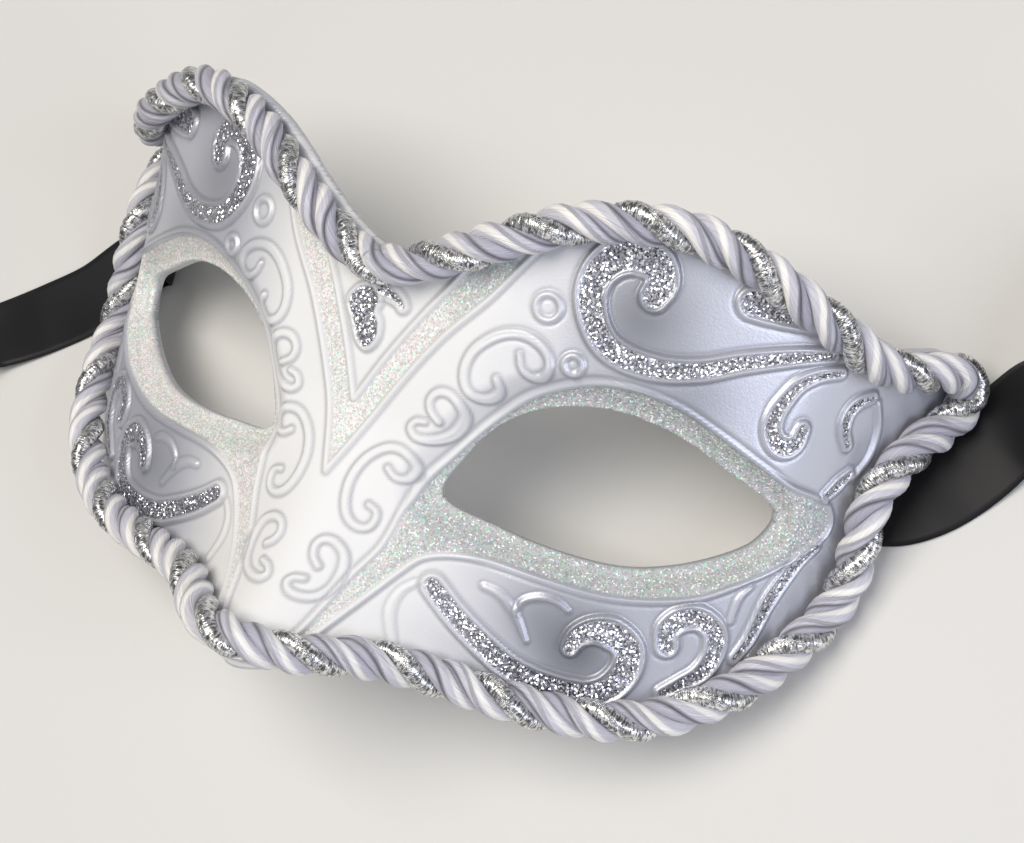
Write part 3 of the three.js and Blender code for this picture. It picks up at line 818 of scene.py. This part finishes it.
def rope_tree(material):
    """Strands twisted round a closed line: the first is silver gimp, the others are laid from two plies."""
    tree = bpy.data.node_groups.new("twisted_rope", "GeometryNodeTree")
    tree.interface.new_socket("Middle line", in_out="INPUT", socket_type="NodeSocketGeometry")
    tree.interface.new_socket("Rope", in_out="OUTPUT", socket_type="NodeSocketGeometry")
    for name in ("Strands", "Points round"):
        tree.interface.new_socket(name, in_out="INPUT", socket_type="NodeSocketInt")
    for name in ("Strand radius", "Strand off middle", "Lay", "Ply wave", "Gimp step"):
        tree.interface.new_socket(name, in_out="INPUT", socket_type="NodeSocketFloat")
    ends = partial(add_node, tree, "NodeGroup")
    node = partial(add_node, tree, "GeometryNode")
    shader = partial(add_node, tree, "ShaderNode")
    sizes = ends("Input").outputs

    # the line, the way along it, and the directions across it and off the face
    line = node("MeshToCurve", {"Mesh": sizes["Middle line"]})
    way = node("SplineParameter").outputs["Length"]
    whole = node("SplineLength").outputs["Length"]
    off = node("InputNamedAttribute", {"Name": "off"}, data_type="FLOAT_VECTOR")
    tangent = node("InputTangent")
    cross = shader("VectorMath", {0: tangent, 1: off}, operation="CROSS_PRODUCT")
    side = shader("VectorMath", {0: cross}, operation="NORMALIZE")
    top = shader("VectorMath", {0: side, 1: tangent}, operation="CROSS_PRODUCT")
    line, side, top = store(tree, line, "FLOAT_VECTOR", side=side, top=top)
    share = shader("Math", {0: way, 1: whole}, operation="DIVIDE")
    line, way, share, whole = store(tree, line, "FLOAT", way_m=way, share=share, whole=whole)

    # the strands, each turned round the line by its own share of a turn
    copies = node("DuplicateElements", {"Geometry": line, "Amount": sizes["Strands"]}, domain="SPLINE")
    which = copies.outputs["Duplicate Index"]
    start = shader("Math", {0: which, 1: sizes["Strands"]}, operation="DIVIDE")
    turn_count = shader("Math", {0: whole, 1: sizes["Lay"]}, operation="DIVIDE")
    turns = shader("Math", {0: turn_count}, operation="ROUND")
    turned = shader("Math", {0: share, 1: turns}, operation="MULTIPLY")
    angle_share = shader("Math", {0: start, 1: turned}, operation="SUBTRACT")
    angle = shader("Math", {0: angle_share, 1: 2 * math.pi}, operation="MULTIPLY")
    wave_count = shader("Math", {0: whole, 1: sizes["Ply wave"]}, operation="DIVIDE")
    waves = shader("Math", {0: wave_count}, operation="ROUND")
    wave_share = shader("Math", {0: share, 1: waves, 2: start}, operation="MULTIPLY_ADD")
    wave_angle = shader("Math", {0: wave_share, 1: 2 * math.pi}, operation="MULTIPLY")
    wave = shader("Math", {0: wave_angle}, operation="SINE")
    twist = shader("Math", {0: wave, 1: PLY_SWAY, 2: PLY_TURN}, operation="MULTIPLY_ADD")
    metal = shader("Math", {0: which, 1: 0.5}, operation="LESS_THAN")
    line, angle, twist, metal = store(tree, copies, "FLOAT", angle=angle, twist=twist, metal=metal)
    ray = turned_between(shader, side, top, angle)
    line, ray = store(tree, line, "FLOAT_VECTOR", ray=ray)
    offset = shader("VectorMath", {0: ray, "Scale": sizes["Strand off middle"]}, operation="SCALE")
    line = node("SetPosition", {"Geometry": line, "Offset": offset})

    # the directions round a strand, then its skin
    run = node("InputTangent")
    leaning = shader("VectorMath", {0: ray, 1: run}, operation="DOT_PRODUCT")
    along_run = shader("VectorMath", {0: run, "Scale": leaning}, operation="SCALE")
    square = shader("VectorMath", {0: ray, 1: along_run}, operation="SUBTRACT")
    out = shader("VectorMath", {0: square}, operation="NORMALIZE")
    across = shader("VectorMath", {0: run, 1: out}, operation="CROSS_PRODUCT")
    line, out, across, middle = store(tree, line, "FLOAT_VECTOR", out=out, across=across,
                                      middle=node("InputPosition"))
    circle = node("CurvePrimitiveCircle", {"Resolution": sizes["Points round"], "Radius": 1.0})
    full = shader("Math", {0: node("InputIndex"), 1: 2 * math.pi}, operation="MULTIPLY")
    round_angle = shader("Math", {0: full, 1: sizes["Points round"]}, operation="DIVIDE")
    circle, around = store(tree, circle, "FLOAT", around=round_angle)
    skin = node("CurveToMesh", {"Curve": line, "Profile Curve": circle})
    to_ply = shader("Math", {0: around, 1: twist}, operation="SUBTRACT")
    lobe = shader("Math", {0: to_ply}, operation="COSINE")
    turn = shader("Math", {0: around, 1: angle}, operation="SUBTRACT")
    way_mm = shader("Math", {0: way, 1: 1 / MM}, operation="MULTIPLY")
    skin, lobe, turn, way_mm = store(tree, skin, "FLOAT", lobe=lobe, turn=turn, way=way_mm)

    # the radius: round the plies of a satin strand, or over the tinsel of the silver one
    crest = shader("Math", {0: lobe}, operation="ABSOLUTE")
    crest = shader("Math", {0: crest, 1: PLY_FLAT}, operation="POWER")
    plies = shader("Math", {0: crest, 1: PLY_CREST, 2: PLY_VALLEY}, operation="MULTIPLY_ADD")
    winding = shader("Math", {0: way, 1: sizes["Gimp step"]}, operation="DIVIDE")
    winding = shader("Math", {0: winding, 1: 2 * math.pi}, operation="MULTIPLY")
    winding = shader("Math", {0: winding}, operation="COSINE")
    gimp = shader("Math", {0: winding, 1: GIMP_WINDING, 2: GIMP}, operation="MULTIPLY_ADD")
    radius = shader("Mix", {"Factor": metal, "A": plies, "B": gimp})
    radius = shader("Math", {0: radius, 1: sizes["Strand radius"]}, operation="MULTIPLY")
    spoke = turned_between(shader, out, across, around)
    reach = shader("VectorMath", {0: spoke, "Scale": radius}, operation="SCALE")
    place = shader("VectorMath", {0: middle, 1: reach}, operation="ADD")
    skin = node("SetPosition", {"Geometry": skin, "Position": place})
    for name in ("off", "side", "top", "way_m", "share", "whole", "angle", "twist", "ray", "out", "across",
                 "middle", "around"):
        skin = node("RemoveAttribute", {"Geometry": skin, "Name": name})
    real = node("RealizeInstances", {"Geometry": skin})
    dressed = node("SetMaterial", {"Geometry": real, "Material": material})
    ends("Output", {0: dressed})
    return tree


def rope_line(count):
    """The closed middle line of the rope, with the direction off the face at each of its points."""
    flat = spaced(RIM_LINE, count, True)
    at, _, off = on_face(flat[:, 0], flat[:, 1], ROPE + GAP)
    edges = [(i, (i + 1) % count) for i in range(count)]
    obj = new_mesh("rope_strands", at * MM, [], edges)
    set_attribute(obj, "off", off)
    return obj


def rope():
    places, points_round = (QUICK_PLACES, QUICK_ROUND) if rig.quick() else (ROPE_PLACES, ROPE_ROUND)
    obj = rope_line(places)
    twisted = obj.modifiers.new("twisted rope", "NODES")
    twisted.node_group = rope_tree(rope_material())
    sizes = {"Strands": STRANDS, "Points round": points_round, "Strand radius": STRAND * MM,
             "Strand off middle": STRAND_OFF * MM, "Lay": LAY * MM, "Ply wave": PLY_WAVE * MM,
             "Gimp step": GIMP_STEP * MM}
    for item in twisted.node_group.interface.items_tree:
        if item.name in sizes:
            twisted[item.identifier] = sizes[item.name]
    made_real(obj)
    return obj


# The ribbons: a strip that lies on the floor, then a loose roll.
GLUED_SINK = 0.5  # a glued end sinks in by this much towards the wing tip
ROUTE_STEPS = 12  # places between two points of a ribbon's route
ROLL_PITCH = 5.45  # between the turns of the loose roll
ROLL_MARGIN = 0.6  # the roll stays this far inside its solid's walls
ROLL_STEP, ROLL_STEP_ANGLE = 1.0, 0.6  # it bends in by so many millimetres over so many radians at its start
ROLL_PLACES = 40  # places for each turn of the roll
GLUED_HIDDEN = 24  # places left out at the glued end, which the eye hole would show
SATIN_HALF = 0.18  # half the satin's thickness
SATIN_INSET = 0.05  # the satin is narrower than its solid by this much on either side
SATIN_ACROSS = 13  # places across the satin
SELVAGE_THINNER, SELVAGE_SHARP = 0.35, 8  # the woven edge is thinner by this share, and how close to the edge


def glued_places(route):
    """Places and directions across the ribbon where it is glued inside its wing."""
    inside = -(SHELL + 3 * GAP + RIBBON_THICK / 2)
    (way0, up0), (way1, up1) = route["glued"]
    for t in (0, 0.5, 1):
        way = way0 + (way1 - way0) * t
        place, upward, _ = on_face([way], [up0 + (up1 - up0) * t], inside - GLUED_SINK * t)
        yield place[0], upward[0] * np.sign(way)


def loose_places(route):
    """Places and directions across the ribbon where it lies or stands on the floor."""
    over = route["over"]
    for i, (x, y, turn, lift) in enumerate(over):
        after, before = over[min(i + 1, len(over) - 1)], over[max(i - 1, 0)]
        run = unit(np.array([after[0] - before[0], after[1] - before[1], 0.0]))
        angle = math.radians(turn)
        across = np.array([-run[1], run[0], 0]) * math.cos(angle)
        across[2] = math.sin(angle)
        rest = (RIBBON_WIDE * abs(math.sin(angle)) + RIBBON_THICK * math.cos(angle)) / 2
        yield np.array([x, y, rest + lift + GAP / 2]), across


def roll_places(line, towards):
    """The loose roll at the end of a line, on the side that it points towards."""
    run = unit(line[-1] - line[-2])
    across = np.array([-run[1], run[0], 0])
    if across[:2] @ towards < 0:
        across = -across
    start = COIL + GAP + RIBBON_THICK / 2
    turns = (COIL - COIL_HOLE - 2 * ROLL_MARGIN) / ROLL_PITCH
    angle = np.linspace(0, 2 * math.pi * turns, int(turns * ROLL_PLACES))[1:]
    narrowing = (start - ROLL_STEP - COIL_HOLE - ROLL_MARGIN) * angle / angle[-1]
    radius = start - ROLL_STEP * np.clip(angle / ROLL_STEP_ANGLE, 0, 1) - narrowing
    ray = -across * np.cos(angle)[:, None] + run * np.sin(angle)[:, None]
    return line[-1] + across * start + ray * radius[:, None]


def ribbon_path(route):
    """The ribbon's middle line from where it leaves its wing, and the directions across it."""
    places, sides = zip(*glued_places(route), *loose_places(route))
    line = smooth_line(places, per=ROUTE_STEPS)
    sides = smooth_line(sides, per=ROUTE_STEPS)
    roll = roll_places(line, route["roll"])
    line = np.vstack([line, roll])
    sides = np.vstack([sides, np.repeat(unit(sides[-1:]), len(roll), 0)])
    return line[GLUED_HIDDEN:], sides[GLUED_HIDDEN:]


def ribbon(name, route):
    """A satin strip along its route. Returns it with its middle line and its length."""
    line, sides = ribbon_path(route)
    run = unit(np.gradient(line, axis=0))
    side = unit(sides - run * (sides * run).sum(1, keepdims=True))
    top = np.cross(run, side)
    half = RIBBON_WIDE / 2 - SATIN_INSET
    across = np.linspace(-half, half, SATIN_ACROSS)
    across = np.concatenate([across, across[::-1]])
    thick = SATIN_HALF * (1 - SELVAGE_THINNER * np.abs(across / half) ** SELVAGE_SHARP)
    thick[SATIN_ACROSS:] *= -1
    verts = line[:, None] + side[:, None] * across[:, None] + top[:, None] * thick[:, None]
    count, round_it = len(line), len(across)
    ids = np.arange(count * round_it).reshape(count, round_it)
    after = np.roll(ids, -1, axis=1)
    faces = np.stack([ids[:-1], after[:-1], after[1:], ids[1:]], -1).reshape(-1, 4).tolist()
    faces += [ids[0, ::-1].tolist(), ids[-1].tolist()]
    obj = new_mesh(name + "_satin", verts.reshape(-1, 3) * MM, faces)
    bm = bmesh.new()
    bm.from_mesh(obj.data)
    bmesh.ops.recalc_face_normals(bm, faces=bm.faces)
    bm.to_mesh(obj.data)
    bm.free()
    way = way_along(line)
    set_attribute(obj, "way", np.repeat(way, round_it))
    set_attribute(obj, "across", np.tile(across, count))
    return obj, line * MM, way[-1] * MM


# Materials. The tones of the paint begin and end this many millimetres out from the middle of the nose.
PEARL_WAY = (14, 36)  # the pearl grey of the sides fades to white towards the nose
DUSK_WAY = (6, 21)  # the frosted bands are greyer round the eyes than on the forehead
DUSK_RIGHT = 0.12  # and hardly so round the wearer's right eye
BRUSHED_RIGHT = 0.55  # the airbrushing is fainter on the wearer's right
AIRBRUSH_GREY = "#85878f"
# It is sprayed in the scrolls: its middle on the flat drawing, how far it reaches, how strong it is.
AIRBRUSHED = [((40, 36.8), 13, 0.8), ((44, -13.5), 11, 1.0), ((37, -11), 9, 0.5), ((50, 27.5), 11, 0.5)]
GROOVE_DARK = 0.6  # how much of the airbrushed grey lies in the fine grooves
SILVER_FLAKE, SILVER_TIP = 0.27, 1.3  # width of a silver flake, and how far flakes tip from the surface
FROST_FLAKE, FROST_TIP = 0.24, 0.45  # coarser than the real dust, which is too fine to show
LACQUER_GRAIN = 0.35  # width of the spray's grain, drawn as coarse as it has to be to show
LACQUER_CLOUD, FROST_DRIFT = 30.0, 9.0  # widths of the uneven patches in the paint and in the frost
TINSEL_BLOTCH = 0.9  # width of the bright and dark bits of the tinsel


def flakes(node, size, tip, coord):
    """Glitter: cells that each face their own way. Returns each cell's colour and the direction it faces."""
    cells = node("TexVoronoi", {"Vector": coord, "Scale": repeats(size), "Randomness": 1.0})
    colour = cells.outputs["Color"]
    centred = node("VectorMath", {0: colour, 1: (0.5, 0.5, 0.5)}, operation="SUBTRACT")
    scaled = node("VectorMath", {0: centred, "Scale": tip}, operation="SCALE")
    normal = node("NewGeometry").outputs["Normal"]
    summed = node("VectorMath", {0: normal, 1: scaled}, operation="ADD")
    return colour, node("VectorMath", {0: summed}, operation="NORMALIZE")


def from_nose(node, coord):
    """Nodes with the place, how far it is out to either side, and whether it is on the wearer's right."""
    place = node("SeparateXYZ", {0: coord})
    across = node("Math", {0: place.outputs["X"]}, operation="ABSOLUTE")
    return place, across, node("Math", {0: place.outputs["X"], 1: 0.0}, operation="LESS_THAN")


def lacquer(node, coord):
    """Pearl white, pearl grey at the sides and airbrushed. Returns the colour and the pearl grey's share."""
    place, across, at_right = from_nose(node, coord)
    normal = node("SeparateXYZ", {0: node("NewGeometry").outputs["Normal"]})
    front = node("Math", {0: normal.outputs["Z"], 1: 0.0}, operation="GREATER_THAN")
    cloud = node("TexNoise", {"Vector": coord, "Scale": repeats(LACQUER_CLOUD), "Detail": 2.0})
    patchy = node("Math", {0: cloud.outputs["Fac"], 1: 0.5, 2: 0.75}, operation="MULTIPLY_ADD")
    pearl_from, pearl_to = PEARL_WAY
    grey = node("MapRange", {"Value": across, "From Min": pearl_from * MM, "From Max": pearl_to * MM},
                interpolation_type="SMOOTHSTEP")
    for share in (front, patchy):
        grey = node("Math", {0: grey, 1: share}, operation="MULTIPLY", use_clamp=True)
    colour = node("Mix", {"Factor": grey, "A": linear("#e4e4e3"), "B": linear("#ced0d8")},
                  data_type="RGBA")
    brushed = node("Math", {0: at_right, 1: BRUSHED_RIGHT - 1, 2: 1.0}, operation="MULTIPLY_ADD")
    brushed = node("Math", {0: front, 1: brushed}, operation="MULTIPLY")
    half_place = node("CombineXYZ", {0: across, 1: place.outputs["Y"], 2: place.outputs["Z"]})
    for (way, up), wide, strength in AIRBRUSHED:
        middle = on_face([way], [up], 0)[0][0] * MM
        gap = node("VectorMath", {0: half_place, 1: tuple(middle)}, operation="DISTANCE")
        fade = node("MapRange", {"Value": gap, "From Min": 0.0, "From Max": wide * MM, "To Min": strength,
                                 "To Max": 0.0}, interpolation_type="SMOOTHSTEP")
        share = node("Math", {0: brushed, 1: fade}, operation="MULTIPLY")
        colour = node("Mix", {"Factor": share, "A": colour, "B": linear(AIRBRUSH_GREY)}, data_type="RGBA")
    groove = node("Attribute", attribute_name="groove").outputs["Fac"]
    share = node("Math", {0: groove, 1: GROOVE_DARK}, operation="MULTIPLY")
    colour = node("Mix", {"Factor": share, "A": colour, "B": linear(AIRBRUSH_GREY)}, data_type="RGBA")
    return colour, grey


def frosted_glitter(node, coord):
    """White glitter with an iridescent film. Returns its colour, the way it faces and its tinted flakes."""
    flake, facing = flakes(node, FROST_FLAKE, FROST_TIP, coord)
    parts = node("SeparateColor", {"Color": flake}).outputs
    _, across, at_right = from_nose(node, coord)
    drift = node("TexNoise", {"Vector": coord, "Scale": repeats(FROST_DRIFT), "Detail": 1.0})
    cast = node("MapRange", {"Value": drift.outputs["Fac"], "From Min": 0.35, "From Max": 0.65})
    dusk_from, dusk_to = DUSK_WAY
    dusk = node("MapRange", {"Value": across, "From Min": dusk_from * MM, "From Max": dusk_to * MM},
                interpolation_type="SMOOTHSTEP")
    fainter = node("Math", {0: at_right, 1: DUSK_RIGHT - 1, 2: 1.0}, operation="MULTIPLY_ADD")
    dusk = node("Math", {0: dusk, 1: fainter}, operation="MULTIPLY")
    light = node("Mix", {"Factor": cast, "A": linear("#e0e1da"), "B": linear("#eadfdd")},
                 data_type="RGBA")
    dark = node("Mix", {"Factor": cast, "A": linear("#a4a9a5"), "B": linear("#b1b0b2")}, data_type="RGBA")
    film = node("Mix", {"Factor": dusk, "A": light, "B": dark}, data_type="RGBA")
    pastel = node("HueSaturation", {"Hue": parts["Red"], "Saturation": 0.9, "Color": linear("#e8c4cc")})
    film = node("Mix", {"Factor": 0.3, "A": film, "B": pastel}, data_type="RGBA")
    tone = node("Math", {0: parts["Blue"], 1: 0.42, 2: 0.76}, operation="MULTIPLY_ADD")
    film = node("VectorMath", {0: film, "Scale": tone}, operation="SCALE")
    spark = node("Math", {0: parts["Blue"], 1: 0.93}, operation="GREATER_THAN")
    film = node("Mix", {"Factor": spark, "A": film, "B": linear("#f2f3f2")}, data_type="RGBA")
    hue = node("Math", {0: parts["Red"], 1: 0.14, 2: 0.43}, operation="MULTIPLY_ADD")
    tint = node("HueSaturation",
                {"Hue": hue, "Saturation": 0.65, "Value": 0.95, "Color": linear("#8df0c8")})
    tinted = node("Math", {0: parts["Green"], 1: 0.94}, operation="GREATER_THAN")
    film = node("Mix", {"Factor": tinted, "A": film, "B": tint}, data_type="RGBA")
    return film, facing, tinted


def silver_glitter(node, coord):
    """Coarse flakes of aluminised film. Returns their colour and the way they face."""
    flake, facing = flakes(node, SILVER_FLAKE, SILVER_TIP, coord)
    parts = node("SeparateColor", {"Color": flake}).outputs
    bright = node("Math", {0: parts["Red"], 1: 0.62, 2: 0.34}, operation="MULTIPLY_ADD")
    blue = node("Math", {0: bright, 1: 1.06}, operation="MULTIPLY")
    return node("CombineColor", {"Red": bright, "Green": bright, "Blue": blue}), facing


def paint_material():
    # Pearl white: sprayed satin lacquer with a mica sheen over moulded plastic, with glitter glued on.
    material, node = new_material("pearl_white_painted_plastic")
    coord = node("TexCoord").outputs["Object"]
    silver = node("Attribute", attribute_name="silver").outputs["Fac"]
    frost = node("Attribute", attribute_name="frost").outputs["Fac"]
    pearl, grey = lacquer(node, coord)
    film, film_facing, tinted = frosted_glitter(node, coord)
    flake, flake_facing = silver_glitter(node, coord)
    colour = pearl
    for share, glitter in ((frost, film), (silver, flake)):
        colour = node("Mix", {"Factor": share, "A": colour, "B": glitter}, data_type="RGBA")
    # the mica of the grey lacquer, the silver flakes and the tinted ones shine as metal does
    covered = node("Math", {0: silver, 1: frost}, operation="MAXIMUM")
    bare = node("Math", {0: 1.0, 1: covered}, operation="SUBTRACT")
    mica = node("Math", {0: grey, 1: 0.55}, operation="MULTIPLY")
    mica = node("Math", {0: bare, 1: mica}, operation="MULTIPLY")
    metallic = node("Math", {0: silver, 1: 0.95, 2: mica}, operation="MULTIPLY_ADD")
    iridescent = node("Math", {0: tinted, 1: 0.15}, operation="MULTIPLY")
    iridescent = node("Math", {0: frost, 1: iridescent}, operation="MULTIPLY")
    metallic = node("Math", {0: metallic, 1: iridescent}, operation="ADD", use_clamp=True)
    roughness = node("Math", {0: grey, 1: -0.16, 2: 0.55}, operation="MULTIPLY_ADD")
    roughness = node("Mix", {"Factor": frost, "A": roughness, "B": 0.38})
    roughness = node("Mix", {"Factor": silver, "A": roughness, "B": 0.24})
    grain = node("TexNoise", {"Vector": coord, "Scale": repeats(LACQUER_GRAIN), "Detail": 2.0,
                              "Roughness": 0.6})
    bump = node("Bump", {"Height": grain.outputs["Fac"], "Strength": 0.35, "Distance": 0.08 * MM})
    facing = node("Mix", {"Factor": frost, "A": bump, "B": film_facing}, data_type="VECTOR")
    facing = node("Mix", {"Factor": silver, "A": facing, "B": flake_facing}, data_type="VECTOR")
    facing = node("VectorMath", {0: facing}, operation="NORMALIZE")
    surface = node("BsdfPrincipled", {"Base Color": colour, "Metallic": metallic, "Roughness": roughness,
                                      "Normal": facing, "Specular IOR Level": 0.25})
    node("OutputMaterial", {"Surface": surface})
    return material


def satin_thread(node, lobe, threads):
    """White satin: one ply of each strand is cream along its crest, and the grooves are a lavender grey."""
    cream = node("MapRange", {"Value": lobe, "From Min": 0.89, "From Max": 0.97})
    light_ply = node("MapRange", {"Value": lobe, "From Min": -0.15, "From Max": 0.35})
    from_groove = node("Math", {0: lobe}, operation="ABSOLUTE")
    groove = node("MapRange", {"Value": from_groove, "From Min": 0.02, "From Max": 0.34})
    ply = node("Mix", {"Factor": light_ply, "A": linear("#b9b8c5"), "B": linear("#d0cfd8")},
               data_type="RGBA")
    body = node("Mix", {"Factor": groove, "A": linear("#66656f"), "B": ply}, data_type="RGBA")
    white = node("Mix", {"Factor": cream, "A": body, "B": linear("#fbf9f3")}, data_type="RGBA")
    shade = node("MapRange", {"Value": threads, "From Min": 0.35, "From Max": 0.65, "To Min": 0.82,
                              "To Max": 1.05})
    shade = node("CombineColor", {"Red": shade, "Green": shade, "Blue": shade})
    return node("Mix", {"Factor": 1.0, "A": white, "B": shade}, data_type="RGBA", blend_type="MULTIPLY")


def rope_material():
    # White satin thread plied in two, and a gimp of flat silver tinsel wound round a core.
    material, node = new_material("white_satin_and_silver_gimp")
    coord = node("TexCoord").outputs["Object"]
    metal, lobe, way, turn = (node("Attribute", attribute_name=name).outputs["Fac"]
                              for name in ("metal", "lobe", "way", "turn"))
    # threads run along the plies, and tinsel winds round its core
    thread_way = node("Math", {0: way, 1: 0.12}, operation="MULTIPLY")
    thread_turn = node("Math", {0: turn, 1: 5.0}, operation="MULTIPLY")
    thread_place = node("CombineXYZ", {"X": thread_way, "Y": thread_turn, "Z": metal})
    threads = node("TexNoise", {"Vector": thread_place, "Scale": 1.6, "Detail": 4.0}).outputs["Fac"]
    white = satin_thread(node, lobe, threads)
    tinsel_way = node("Math", {0: way, 1: 3.2}, operation="MULTIPLY")
    tinsel_turn = node("Math", {0: turn, 1: 0.9}, operation="MULTIPLY")
    tinsel_place = node("CombineXYZ", {"X": tinsel_way, "Y": tinsel_turn, "Z": 0.0})
    tinsel = node("TexNoise", {"Vector": tinsel_place, "Scale": 1.5, "Detail": 2.0}).outputs["Fac"]
    blotch = node("TexNoise",
                  {"Vector": coord, "Scale": repeats(TINSEL_BLOTCH), "Detail": 1.0}).outputs["Fac"]
    blotch = node("Math", {0: blotch, 1: 0.35}, operation="MULTIPLY")
    winding = node("Math", {0: tinsel, 1: 0.65, 2: blotch}, operation="MULTIPLY_ADD")
    shade = node("MapRange", {"Value": winding, "From Min": 0.42, "From Max": 0.58, "To Min": 0.16,
                              "To Max": 0.95})
    blue = node("Math", {0: shade, 1: 0.98}, operation="MULTIPLY")
    silver = node("CombineColor", {"Red": shade, "Green": shade, "Blue": blue})
    colour = node("Mix", {"Factor": metal, "A": white, "B": silver}, data_type="RGBA")
    height = node("Mix", {"Factor": metal, "A": threads, "B": winding})
    bump = node("Bump", {"Height": height, "Strength": 0.8, "Distance": 0.3 * MM})
    metallic = node("Math", {0: metal, 1: 0.9}, operation="MULTIPLY")
    roughness = node("Mix", {"Factor": metal, "A": 0.34, "B": 0.24})
    surface = node("BsdfPrincipled", {"Base Color": colour, "Metallic": metallic, "Roughness": roughness,
                                      "Normal": bump, "Sheen Weight": 0.2})
    node("OutputMaterial", {"Surface": surface})
    return material


def ribbon_material():
    # Black polyester satin: long floats of weft give it a soft sheen along its length.
    material, node = new_material("black_satin_ribbon")
    way = node("Attribute", attribute_name="way").outputs["Fac"]
    across = node("Attribute", attribute_name="across").outputs["Fac"]
    weft_way = node("Math", {0: way, 1: 0.6}, operation="MULTIPLY")
    weft_across = node("Math", {0: across, 1: 8.0}, operation="MULTIPLY")
    place = node("CombineXYZ", {"X": weft_way, "Y": weft_across, "Z": 0.0})
    weave = node("TexNoise", {"Vector": place, "Scale": 1.2, "Detail": 3.0}).outputs["Fac"]
    bump = node("Bump", {"Height": weave, "Strength": 0.15, "Distance": 0.1 * MM})
    surface = node("BsdfPrincipled", {"Base Color": linear("#0c0b0e"), "Roughness": 0.5, "Normal": bump,
                                      "Anisotropic": 0.5, "Specular IOR Level": 0.3,
                                      "Sheen Weight": 0.04})
    node("OutputMaterial", {"Surface": surface})
    return material


def floor_material():
    # A pale painted board: flat and matt.
    material, node = new_material("pale_floor")
    surface = node("BsdfPrincipled", {"Base Color": linear("#d9d8d4"), "Roughness": 0.7})
    node("OutputMaterial", {"Surface": surface})
    return material


# The pieces.
ribbon_look = ribbon_material()
for ribbon_name, ribbon_route in RIBBONS.items():
    strip, centre_line, strip_length = ribbon(ribbon_name, ribbon_route)
    strip.data.materials.append(ribbon_look)
    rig.ride(strip, "root")
    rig.replaces(strip, ribbon_name, ribbon_name + "_roll")
    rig.slot(strip, "ribbon_satin")
    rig.cord(strip, exit=centre_line[0], length=round(float(strip_length), 3), diameter=RIBBON_WIDE * MM,
            far_end="bare", stiffness="limp", lay="loose", path=centre_line)

shell = mask_shell()
shell.data.materials.append(paint_material())
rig.ride(shell, "root")
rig.replaces(shell, "mask_shell")
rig.slot(shell, "shell_paint")

trim = rope()
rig.ride(trim, "root")
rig.replaces(trim, "rope_trim")
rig.slot(trim, "rope_satin")


# Floor and light.
FLOOR = 3.0
LOOKED_AT = Vector((0, 0, 0.02))


def area_light(name, at, size, power, colour):
    data = bpy.data.lights.new(name, "AREA")
    data.size = size
    data.energy = power
    data.color = linear(colour)[:3]
    light = bpy.data.objects.new(name, data)
    light.location = at
    light.rotation_mode = "QUATERNION"
    light.rotation_quaternion = (LOOKED_AT - Vector(at)).to_track_quat("-Z", "Y")
    bpy.context.scene.collection.objects.link(light)


def studio():
    corners = [(-FLOOR, -FLOOR, 0), (FLOOR, -FLOOR, 0), (FLOOR, FLOOR, 0), (-FLOOR, FLOOR, 0)]
    floor = new_mesh("floor", corners, [(0, 1, 2, 3)], smooth=False)
    floor.data.materials.append(floor_material())
    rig.stage(floor)
    area_light("key", (-0.1, 0.0, 0.68), 0.45, 3.9, "#fffaf2")
    area_light("fill", (0.6, 0.0, 0.34), 0.35, 1.7, "#e8ecff")
    area_light("low", (0.15, -0.65, 0.4), 0.4, 0.5, "#ffffff")
    world = bpy.data.worlds.new("studio")
    bpy.context.scene.world = world
    world.use_nodes = True
    sky = world.node_tree.nodes["Background"].inputs
    sky["Color"].default_value = linear("#e6e8f0")
    sky["Strength"].default_value = 0.3
    bpy.context.scene.view_settings.view_transform = "Standard"


studio()

json.dump({"cad": [list(c) for c in CAD_BOX], "visual": [list(c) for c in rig.bounds()]},
          open("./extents.json", "w"))
